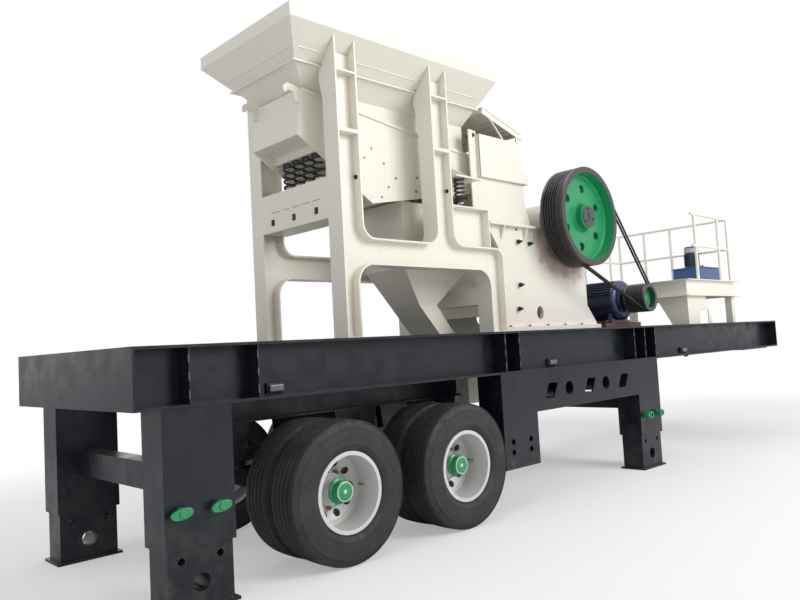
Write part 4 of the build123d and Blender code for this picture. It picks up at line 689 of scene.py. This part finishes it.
# Flywheels, pulley and belts
FLY_RADIUS, FLY_FACE, FLY_BACK, FLY_WEB, WEB_PLATE = 0.585, 0.880, 0.580, 0.758, 0.060
HUB_RADIUS, HUB_FACE, HUB_BACK = 0.150, 0.850, 0.600
SHAFT_RADIUS, DISC_RADIUS, DISC_PLATE = 0.069, 0.129, 0.010
KEEPER_CIRCLE, KEEPER_COUNT, KEEPER_TURN = 0.088, 3, radians(100)
KEY_HALVES, KEY_RELIEF = (0.012, 0.052), 0.003
HOLE_CIRCLE, HOLE_RADIUS, HOLE_COUNT, HOLE_TURN = 0.350, 0.052, 6, radians(24)
GROOVES, GROOVE_PITCH, GROOVE_DEPTH, GROOVE_START = 7, 0.034, 0.022, 0.030
PULLEY_LENGTH, PULLEY_RECESS = 0.290, 0.090
BELT_COUNT, BELT_DEPTH = 2, 0.011
BELT_SECTION = ((0.0118, 0.0105), (-0.0118, 0.0105), (-0.0055, -0.0090), (0.0055, -0.0090))
MOTOR_NEAR = -0.530


def grooved(radius, start, inward):
    """(radius, y) points of the V grooves along a rim."""
    points = []
    for number in range(GROOVES):
        y = start + inward * (GROOVE_START + number * GROOVE_PITCH)
        points += [(radius, y + inward * 0.004), (radius - GROOVE_DEPTH, y + inward * 0.012),
                   (radius - GROOVE_DEPTH, y + inward * 0.022), (radius, y + inward * 0.030)]
    return points


def wheel_profile(grooves):
    """Hub, dished web and rim of a flywheel, as (radius, y) points."""
    back = FLY_WEB - WEB_PLATE
    return [(SHAFT_RADIUS, HUB_FACE), (HUB_RADIUS - 0.004, HUB_FACE), (HUB_RADIUS, HUB_FACE - 0.004),
            (HUB_RADIUS + 0.008, FLY_WEB + 0.02), (HUB_RADIUS + 0.026, FLY_WEB), (FLY_INNER - 0.034, FLY_WEB),
            (FLY_INNER - 0.016, FLY_WEB + 0.016), (FLY_INNER, FLY_FACE), (FLY_RADIUS, FLY_FACE), *grooves,
            (FLY_RADIUS, FLY_BACK), (FLY_INNER, FLY_BACK), (FLY_INNER - 0.016, back),
            (HUB_RADIUS + 0.015, back), (HUB_RADIUS, HUB_BACK), (SHAFT_RADIUS, HUB_BACK)]


def build_flywheels():
    """Both flywheels with their round holes, and the shaft with its keeper discs."""
    for side, name, node in ((-1, "grooved_wheel", "belt_flywheel"), (1, "plain_wheel", "plain_flywheel")):
        grooves = grooved(FLY_RADIUS, FLY_FACE, -1) if side < 0 else []
        bm, holes = meshes(2)
        add_lathe(bm, wheel_profile(grooves), SHAFT, 128, side)
        for _, x, z in around(SHAFT, HOLE_CIRCLE, HOLE_COUNT, HOLE_TURN):
            add_round(holes, (x, side * HUB_BACK, z), (0, side, 0), HOLE_RADIUS, HUB_FACE - HUB_BACK, 40)
        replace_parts(piece(name, carved(bm, holes), "wheel", "flywheels", smooth=28, soft=0.0015), node)
    bm = bmesh.new()
    for side in SIDES:
        start = (SHAFT[0], side * (HUB_FACE - SINK), SHAFT[1])
        add_round(bm, start, (0, side, 0), DISC_RADIUS, DISC_PLATE + SINK, 72)
    add_round(bm, (SHAFT[0], -HUB_FACE, SHAFT[1]), (0, 1, 0), SHAFT_RADIUS, 2 * HUB_FACE, 64)
    shaft = piece("shaft_with_keepers", bm, "dark", "flywheels", soft=0.0015)
    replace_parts(shaft, "eccentric_shaft")


def build_keepers():
    """Bolts of the keeper discs and the key's end in the shaft."""
    bolts, keys = meshes(2)
    face = HUB_FACE + DISC_PLATE
    for side in SIDES:
        for _, x, z in around(SHAFT, KEEPER_CIRCLE, KEEPER_COUNT, KEEPER_TURN):
            add_bolt(bolts, (x, side * face, z), (0, side, 0), 0.014)
        add_side_block(keys, side, (SHAFT[0] - KEY_HALVES[0], SHAFT[0] + KEY_HALVES[0]),
                       (face, face + KEY_RELIEF), (SHAFT[1] - KEY_HALVES[1], SHAFT[1] + KEY_HALVES[1]))
    piece("keeper_bolts", bolts, "dark", "flywheels")
    piece("shaft_keys", keys, "black", "flywheels")


def build_pulley():
    """Long grooved pulley with a recessed face, on a stub that ends just short of the motor."""
    inner, floor, stop = PULLEY_RADIUS - PULLEY_WALL, PULLEY_RECESS, FLY_FACE + MOTOR_NEAR - SINK
    profile = [(0.0, floor), (inner - 0.01, floor), (inner, floor - 0.01), (inner, 0.006), (inner + 0.006, 0),
               (PULLEY_RADIUS - 0.003, 0), (PULLEY_RADIUS, 0.003), *grooved(PULLEY_RADIUS, 0, 1),
               (PULLEY_RADIUS, PULLEY_LENGTH), (0.060, PULLEY_LENGTH), (0.040, stop), (0.0, stop)]
    bm = bmesh.new()
    add_lathe(bm, profile, MOTOR, start=-FLY_FACE)
    add_round(bm, (MOTOR[0], floor + SINK - FLY_FACE, MOTOR[1]), (0, -1, 0), 0.046, 0.035, 40)
    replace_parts(piece("ribbed_pulley", bm, "drum", "pulley", smooth=28), "motor_pulley")


def belt_loop():
    """(x, z) points of a belt round flywheel and pulley, with the straight runs tangent to both."""
    big, small = FLY_RADIUS - BELT_DEPTH, PULLEY_RADIUS - BELT_DEPTH
    run, drop = MOTOR[0] - SHAFT[0], MOTOR[1] - SHAFT[1]
    line = atan2(drop, run)
    swing = acos((big - small) / hypot(run, drop))
    points = []
    for centre, radius, start, sweep, count in ((SHAFT, big, swing, 2 * pi - 2 * swing, 96),
                                                (MOTOR, small, -swing, 2 * swing, 40)):
        for k in range(count + 1):
            angle = line + start + sweep * k / count
            points.append((centre[0] + radius * cos(angle), centre[1] + radius * sin(angle)))
    return points


def build_belts():
    """V-belts, one fixed loop each, in the outer grooves."""
    loop = belt_loop()
    bm = bmesh.new()
    for number in range(BELT_COUNT):
        y = -FLY_FACE + GROOVE_START + (number + 0.5) * GROOVE_PITCH
        rings = []
        for k, (x, z) in enumerate(loop):
            before, after = loop[k - 1], loop[(k + 1) % len(loop)]
            out = Vector((after[1] - before[1], 0, before[0] - after[0])).normalized()
            rings.append([bm.verts.new(Vector((x, y + a, z)) + out * b) for a, b in BELT_SECTION])
        join_rings(bm, rings, closed=True)
    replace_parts(piece("wedge_belts", bm, "belt", smooth=30), "drive_belts")


# Motor, with lengths measured from its near face
MOTOR_PROFILE = ((0.0, 0), (0.110, 0), (0.150, 0.012), (0.160, 0.030), (0.225, 0.036), (0.250, 0.050),
                 (0.258, 0.070), (0.240, 0.072), (0.240, 0.520), (0.262, 0.520), (0.262, 0.620),
                 (0.235, 0.640), (0.0, 0.640))
END_RING = ((0.200, 0.030), (0.228, 0.030), (0.253, 0.046), (0.2635, 0.068), (0.2635, 0.086), (0.200, 0.086))
FINS, FIN_COUNT, FIN_ROOT, FIN_TIP = (0.070, 0.520), 40, (0.236, 0.0040), (0.262, 0.0026)
FOOT_HALF, FOOT_PLATE, FOOT_START = 0.230, 0.030, 0.090
FOOT_RIBS, RIB_PLATE, RIB_WIDTHS, RIB_DROP = (0.110, 0.440), 0.060, (0.215, 0.170), 0.12
TERMINAL_BOX = ((0.120, 0.330), (0.180, 0.400), (0.010, 0.210))


def build_motor():
    """Motor with cooling fins, domed end shield with a pale ring, fan cowl, feet and terminal box; the ring's
    paler violet is partly its own paint and partly a painted highlight on the shield's rounded rim.
    """
    x, z = MOTOR
    body, fins, ring = meshes(3)
    add_lathe(body, MOTOR_PROFILE, MOTOR, start=MOTOR_NEAR)
    add_lathe(ring, END_RING, MOTOR, start=MOTOR_NEAR)
    start, end = FINS
    add_fins(fins, (x, MOTOR_NEAR + start, z), (0, 0, 1), (0, 1, 0), end - start, FIN_COUNT,
             FIN_ROOT, FIN_TIP)
    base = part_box("drive_motor")[0][2]
    add_block(body, (x - FOOT_HALF, x + FOOT_HALF), (MOTOR_NEAR + FOOT_START, MOTOR_NEAR + end),
              (base, base + FOOT_PLATE))
    wide, narrow = RIB_WIDTHS
    for y in FOOT_RIBS:
        add_plate(body, [(x - wide, base + 0.02), (x + wide, base + 0.02), (x + narrow, z - RIB_DROP),
                         (x - narrow, z - RIB_DROP)], MOTOR_NEAR + y, RIB_PLATE)
    places = zip((x, MOTOR_NEAR, z), TERMINAL_BOX)
    add_block(body, *[[place + reach for reach in pair] for place, pair in places])
    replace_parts(piece("motor_housing", body, "motor", smooth=32, soft=0.004), "drive_motor")
    piece("motor_fins", fins, "motor", smooth=0, soft=0.001)
    piece("motor_end_ring", ring, "violet_and_highlight", smooth=40)


# Power pack stand
STAND_LEG, STAND_LEG_HALF, STAND_UNDERSIDE, STAND_MIDDLE = 2.810, 0.050, 2.090, 1.950
NOTCH, NOTCH_TOP = (0.258, 0.542), 1.886
STAND_FOOT, STAND_HEAD, STAND_GUSSET = 0.680, 0.480, 0.012
END_FOOT, END_HEAD = 0.140, 0.360


def build_gussets():
    """Gusset plates that spread the stand's first legs."""
    bm = bmesh.new()
    corner, outer = STAND_LEG + STAND_LEG_HALF, STAND_LEG - STAND_LEG_HALF
    low, high = corner + NOTCH[0], corner + NOTCH[1]
    for side in SIDES:
        leg = on_side("stand_frame", STAND_LEG, STAND_MIDDLE, side).y
        edge = leg - 2 * side * STAND_LEG_HALF
        add_plate(bm, [(corner, DECK), (low, DECK), (low, NOTCH_TOP), (high, NOTCH_TOP), (high, DECK),
                       (corner + STAND_FOOT, DECK), (corner + STAND_HEAD, STAND_UNDERSIDE),
                       (corner, STAND_UNDERSIDE)], leg, -side * STAND_GUSSET)
        add_prism(bm, [(outer, edge, DECK), (outer, edge - side * END_FOOT, DECK),
                       (outer, edge - side * END_HEAD, STAND_UNDERSIDE), (outer, edge, STAND_UNDERSIDE)],
                  (1, 0, 0), STAND_GUSSET)
    piece("stand_gussets", bm, "cream", smooth=0, soft=0.0015)


# Bolts
FEEDER_BOLTS = ((0.855, -0.318), (0.774, -0.432), (1.020, -0.423), (1.182, -0.532), (1.094, -0.644),
                (1.014, -0.761), (1.468, -0.455), (1.466, -0.602))
CRUSHER_STUDS = ((-0.549, 2.703), (-0.345, 2.692), (-0.565, 2.216), (-0.612, 1.947))
FLANGE_BOLTS = ((-0.979, 2.848), (-0.552, 2.844))
HOOD_BOLT = (-1.211, 3.823)
FRAME_BOLT_PLACES, FRAME_BOLT_SIDE, FRAME_BOLT_HEIGHT = (-3.030, -1.850), 0.643, 3.109
BASE_BOLT_PLACES, BASE_BOLT_SIDE = (-0.80, -0.45, -0.10, 0.25, 0.60), 0.512


def side_bolts(name, node, look, size, spots):
    bm = bmesh.new()
    for x, z in spots:
        for side in SIDES:
            place = on_side(node, x, z, side)
            if place:
                add_bolt(bm, place, (0, side, 0), size)
    piece(name, bm, look)


def build_bolts():
    side_bolts("feeder_bolts", "feeder_sides", "zinc", 0.013, [on_feeder(*spot) for spot in FEEDER_BOLTS])
    side_bolts("flange_bolts", "crusher_sides", "black", 0.013, FLANGE_BOLTS)
    hood, frames, washers, studs, base = meshes(5)
    for side in SIDES:
        out = Vector((0, side, 0))
        add_bolt(hood, (HOOD_BOLT[0], side * (NECK_HALF + SINK), HOOD_BOLT[1]), out, 0.022)
        inner = Vector((HOOD_BOLT[0], side * (NECK_HALF - HOOD_PLATE + SINK), HOOD_BOLT[1]))
        add_round(hood, inner, -out, 0.012, 0.075, 16)
        add_round(hood, inner - out * 0.044, -out, 0.024, 0.024, 6)
        for x in FRAME_BOLT_PLACES:
            add_bolt(frames, (x, side * FRAME_BOLT_SIDE, FRAME_BOLT_HEIGHT), (-1, 0, 0), 0.020)
        for x, z in CRUSHER_STUDS:
            place = on_side("crusher_sides", x, z, side)
            add_round(washers, place, out, 0.040, 0.010, 28)
            add_round(studs, place + out * 0.009, out, 0.027, 0.026, 6, 0.4)
            add_round(studs, place + out * 0.034, out, 0.014, 0.034, 12)
        for x in BASE_BOLT_PLACES:
            add_bolt(base, (x, side * BASE_BOLT_SIDE, DECK + BASE_THICK), (0, 0, 1), 0.018)
    piece("hood_bolts", hood, "black")
    piece("frame_bolts", frames, "black")
    piece("stud_washers", washers, "cream", soft=0.002)
    piece("crusher_studs", studs, "black", soft=0.0015)
    piece("base_bolts", base, "black")


# Welds
STIFFENER_PLACES = (-4.920, -4.400, -1.660, -1.440, 0.780, 1.030, 1.280)
STITCH_HEIGHTS, STITCH_HALF, STITCH_BEAD, STITCH_WAVE = (1.365, 1.485, 1.600), 0.028, 0.0042, 0.004
SEAM_HEIGHT, SEAM_INSET, SEAM_STEPS, SEAM_BEAD = 4.190, 0.180, 60, 0.0055
END_SEAM_HALF, END_SEAM_STEPS, END_SEAM_REACH = 0.600, 30, 1.6
DROP_PITCH = 0.012
BEAM_SEAM, BEAM_BEAD = (-3.2565, 2.935), 0.0028
BEAM_DASHES = ((-0.400, -0.290), (-0.250, -0.140), (-0.095, 0.020), (0.065, 0.165), (0.215, 0.350))


def add_bead(bm, points, radius):
    add_sweep(bm, points, ring_section(radius, 6), up=(0.13, 0.21, 0.97))


def wavy(start, end, radius):
    """Points along a weld, a little uneven as the drops of weld metal are."""
    start, end = Vector(start), Vector(end)
    count = max(2, int((end - start).length / DROP_PITCH))
    return [start.lerp(end, k / count) + Vector((0, 0, radius * 0.25 * sin(2.4 * k)))
            for k in range(count + 1)]


def build_welds():
    """Stitch welds beside the chassis stiffeners, the hopper's plate seam, and the crossbeam's seam drawn as
    dark dashes of painted shadow.
    """
    stitches, seam, dashes = meshes(3)
    for x in STIFFENER_PLACES:
        for z in STITCH_HEIGHTS:
            for side in SIDES:
                place = on_side("main_beams", x - 0.006, z, side)
                ends = [(x - 0.006, place.y, z + half) for half in (-STITCH_HALF, STITCH_HALF)]
                add_bead(stitches, wavy(*ends, STITCH_WAVE), STITCH_BEAD)
    low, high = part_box("hopper_slope")
    run = high[0] - low[0] - 2 * SEAM_INSET
    for side in SIDES:
        along = [on_side("hopper_slope", low[0] + SEAM_INSET + run * k / SEAM_STEPS, SEAM_HEIGHT, side)
                 for k in range(SEAM_STEPS + 1)]
        add_bead(seam, [place for place in along if place], SEAM_BEAD)
        x = low[0] - 1 if side < 0 else high[0] + 1
        starts = [(x, END_SEAM_HALF * (2 * k / END_SEAM_STEPS - 1), SEAM_HEIGHT)
                  for k in range(END_SEAM_STEPS + 1)]
        across = [landing("hopper_slope", start, (-side, 0, 0)) for start in starts]
        add_bead(seam, [place for place in across if place and abs(place.x - x) < END_SEAM_REACH], SEAM_BEAD)
    # Dashes of painted shadow along the crossbeam's seam.
    for start, end in BEAM_DASHES:
        add_bead(dashes, [(BEAM_SEAM[0], start, BEAM_SEAM[1]), (BEAM_SEAM[0], end, BEAM_SEAM[1])], BEAM_BEAD)
    piece("stitch_welds", stitches, "weld", smooth=60)
    piece("hopper_seam", seam, "cream", smooth=60)
    piece("crossbeam_seam_shadow", dashes, "seam", smooth=60)


# Legs
WING_SCREWS, SOCKET_SCREWS, SCREW_HEIGHT = (-5.029, -4.754), (0.9645, 1.2195), 0.636
WING_TILT, WING_SIDES = radians(8), 20
SOCKET_PROFILE = ((0.022, 0.010), (0.036, 0.010), (0.040, 0.004), (0.040, -0.02), (0.022, -0.02))
SLOT_REACH, SLOT_HALF, SLOT_RELIEF, SLOT_HEIGHTS = 0.055, 0.003, 0.0012, (0.470, 0.572)


def wing_outline(x, y):
    """Flat wing of a clamp screw, fuller towards both ends and a little tilted."""
    ring = []
    for k in range(WING_SIDES):
        angle = 2 * pi * k / WING_SIDES
        across, up = 0.074 * cos(angle), 0.034 * sin(angle) * (1 + 0.25 * cos(angle) ** 2)
        ring.append((x + across * cos(WING_TILT) - up * sin(WING_TILT), y,
                     SCREW_HEIGHT + across * sin(WING_TILT) + up * cos(WING_TILT)))
    return ring


def build_leg_fittings():
    """Wings on the left legs' clamp screws, socket heads on the right ones, and the slots below as thin black
    strips of painted shade.
    """
    wings, sockets, slots = meshes(3)
    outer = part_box("clamp_screws")[1][1]
    for side in SIDES:
        for x in WING_SCREWS:
            add_prism(wings, wing_outline(x, side * (outer - 0.016)), (0, side, 0), 0.028)
            add_round(wings, (x, side * (outer + 0.010), SCREW_HEIGHT), (0, side, 0), 0.024, 0.012, 24)
        for x in SOCKET_SCREWS:
            add_lathe(sockets, SOCKET_PROFILE, (x, SCREW_HEIGHT), 32, side, side * outer)
        # Black strips on the housing face stand for the slots' shaded insides: painted shade.
        for x in WING_SCREWS + SOCKET_SCREWS:
            face = abs(on_side("leg_housings", x + SLOT_REACH, SCREW_HEIGHT, side).y)
            add_side_block(slots, side, (x - SLOT_HALF, x + SLOT_HALF), (face, face + SLOT_RELIEF),
                           SLOT_HEIGHTS)
    piece("screw_wings", wings, "green", smooth=30, soft=0.005)
    piece("screw_sockets", sockets, "green", soft=0.002)
    piece("housing_slot_shadows", slots, "black", smooth=0)


# Side lamps
LAMP_PLACES = (-4.190, -0.742, 2.270)
LAMP_LENGTH, LAMP_LOW, LAMP_HEIGHT, LAMP_DEPTH, LAMP_RIM = 0.150, 1.312, 0.080, 0.045, 0.012


def build_lamps():
    """Small side lamps, unlit, with a rubber foot on the beams' webs."""
    feet, lenses = meshes(2)
    low, high = LAMP_LOW, LAMP_LOW + LAMP_HEIGHT
    for x in LAMP_PLACES:
        start, end = x - LAMP_LENGTH / 2, x + LAMP_LENGTH / 2
        for side in SIDES:
            face = abs(on_side("main_beams", x, (low + high) / 2, side).y)
            add_side_block(feet, side, (start, end), (face, face + LAMP_DEPTH * 0.5), (low, high))
            add_side_block(lenses, side, (start + LAMP_RIM, end - LAMP_RIM),
                           (face + LAMP_DEPTH * 0.45, face + LAMP_DEPTH), (low + LAMP_RIM, high - LAMP_RIM))
    piece("lamp_feet", feet, "belt", smooth=0, soft=0.008)
    piece("lamp_lenses", lenses, "lens", smooth=0, soft=0.012)


# Power pack
PUMP_FIN_COUNT, PUMP_FIN_START, PUMP_FIN_LENGTH = 28, 0.035, 0.185
COWL_RADIUS, COWL_DROP, COWL_HEIGHT = 0.106, 0.092, 0.066
CAP_INSET, LID_BOLT_COUNT, LID_BOLT_PITCH, LID_BOLT_START, LID_BOLT_EDGE = 0.17, 10, 0.069, 0.06, 0.018


def build_pump():
    """Fins and pale fan cowl of the pump motor, and the tank's filler cap and lid bolts."""
    low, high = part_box("pump_motor")
    x, y = (low[0] + high[0]) / 2, (low[1] + high[1]) / 2
    fins, cowl, cap, bolts = meshes(4)
    up = (0, 0, 1)
    add_fins(fins, (x, y, low[2] + PUMP_FIN_START), (0, 1, 0), up, PUMP_FIN_LENGTH, PUMP_FIN_COUNT,
             (0.090, 0.002), (0.110, 0.002))
    add_round(cowl, (x, y, high[2] - COWL_DROP), up, COWL_RADIUS, COWL_HEIGHT, 48)
    add_round(cowl, (x, y, high[2] - COWL_DROP + COWL_HEIGHT - SINK), up, COWL_RADIUS, 0.024, 48, top=0.070)
    tank_low, tank_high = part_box("oil_tank")
    place = Vector((tank_high[0] - CAP_INSET, (tank_low[1] + tank_high[1]) / 2, tank_high[2] - SINK))
    add_round(cap, place, up, 0.045, 0.014, 32)
    add_round(cap, place + Vector((0, 0, 0.012)), up, 0.034, 0.046, 32, top=0.026)
    for k in range(LID_BOLT_COUNT):
        along = tank_low[0] + LID_BOLT_START + LID_BOLT_PITCH * k
        for edge in (tank_low[1] + LID_BOLT_EDGE, tank_high[1] - LID_BOLT_EDGE):
            add_bolt(bolts, (along, edge, tank_high[2]), up, 0.007)
    piece("pump_fins", fins, "pump", smooth=0)
    piece("pump_cowl", cowl, "grey", soft=0.003)
    piece("filler_cap", cap, "pump", soft=0.002)
    piece("lid_bolts", bolts, "zinc")


build_springs()
build_crusher_sides()
build_hood()
build_cover()
build_skirt()
build_flywheels()
build_keepers()
build_pulley()
build_belts()
build_motor()
build_gussets()
build_bolts()
build_welds()
build_leg_fittings()
build_lamps()
build_pump()
build_wheels()


# Camera, floor and light
FLOOR_HALF, FLOOR_FADE, FLOOR_LIFT, FLOOR_SQUEEZE = 90, (6.0, 13.0), 0.35, 1.6
AMBIENT, AMBIENT_COLOUR = 0.55, (0.95, 0.97, 1.0, 1)
LAMPS = (
    ("key", (3.0, -12.0, 8.0), (-0.5, 0, 2.2), 8.0, 1150),
    ("left", (-12.0, -4.0, 6.0), (-3.0, 0, 2.0), 7.0, 120),
    ("top", (-1.0, 2.0, 13.0), (-1.0, 0, 2.0), 10.0, 350),
)


def place_camera():
    level = cos(CAMERA_PITCH)
    ahead = Vector((sin(CAMERA_YAW) * level, cos(CAMERA_YAW) * level, sin(CAMERA_PITCH)))
    right = ahead.cross(Vector((0, 0, 1))).normalized()
    down = ahead.cross(right)
    side = right * cos(CAMERA_ROLL) + down * sin(CAMERA_ROLL)
    below = down * cos(CAMERA_ROLL) - right * sin(CAMERA_ROLL)
    camera = placed("camera", bpy.data.cameras.new("camera"))
    turn = Matrix((side, -below, -ahead)).transposed().to_4x4()
    camera.matrix_world = Matrix.Translation(CAMERA_PLACE) @ turn
    camera.data.sensor_width = 36.0
    camera.data.lens = CAMERA_LENS
    camera.data.clip_end = 300
    bpy.context.scene.camera = camera


def place_floor():
    """Pale floor that fades to the white backdrop away from the plant, for the camera alone."""
    bm = bmesh.new()
    corners = ((-1, -1), (1, -1), (1, 1), (-1, 1))
    bm.faces.new([bm.verts.new((x * FLOOR_HALF, y * FLOOR_HALF, 0)) for x, y in corners])
    floor = placed("floor", bm)
    s = Surface("pale_floor", roughness=0.9, shine=0.1)
    pale = s.mix(s.noise(0.5, 4), linear((240, 240, 240)), linear((244, 244, 244)))
    s.put(s.shader.inputs["Base Color"], pale)
    away = s.length(s.part("X"), s.math("MULTIPLY", s.part("Y"), FLOOR_SQUEEZE))
    glow = s.remap(away, *FLOOR_FADE, FLOOR_LIFT, 1.0)
    seen = s.node("LightPath").outputs["Is Camera Ray"]
    s.blend(s.math("MULTIPLY", seen, glow), s.shader, s.node("Emission"), "Material Output")
    floor.data.materials.append(s.material)


def place_world():
    """Even light on the object, and plain white wherever the camera or a reflection looks past it."""
    world = bpy.data.worlds.new("studio")
    tree = Tree(world)
    light = tree.nodes["Background"]
    tree.put(light.inputs["Color"], AMBIENT_COLOUR)
    tree.put(light.inputs["Strength"], AMBIENT)
    rays = tree.node("LightPath").outputs
    seen = rays["Is Camera Ray"]
    for kind in ("Is Glossy Ray", "Is Transmission Ray"):
        seen = tree.math("MAXIMUM", seen, rays[kind])
    tree.blend(seen, light, tree.node("Background", Color=(1, 1, 1, 1), Strength=1.0), "World Output")
    bpy.context.scene.world = world


def place_lights():
    """Round area lights, each turned to its aim."""
    for name, place, aim, size, power in LAMPS:
        light = bpy.data.lights.new(name, "AREA")
        light.shape = "DISK"
        light.size = size
        light.energy = power
        turn = (Vector(place) - Vector(aim)).to_track_quat("Z", "Y").to_matrix().to_4x4()
        placed(name, light).matrix_world = Matrix.Translation(place) @ turn


place_camera()
place_floor()
place_world()
place_lights()
bpy.context.scene.view_settings.view_transform = "Standard"
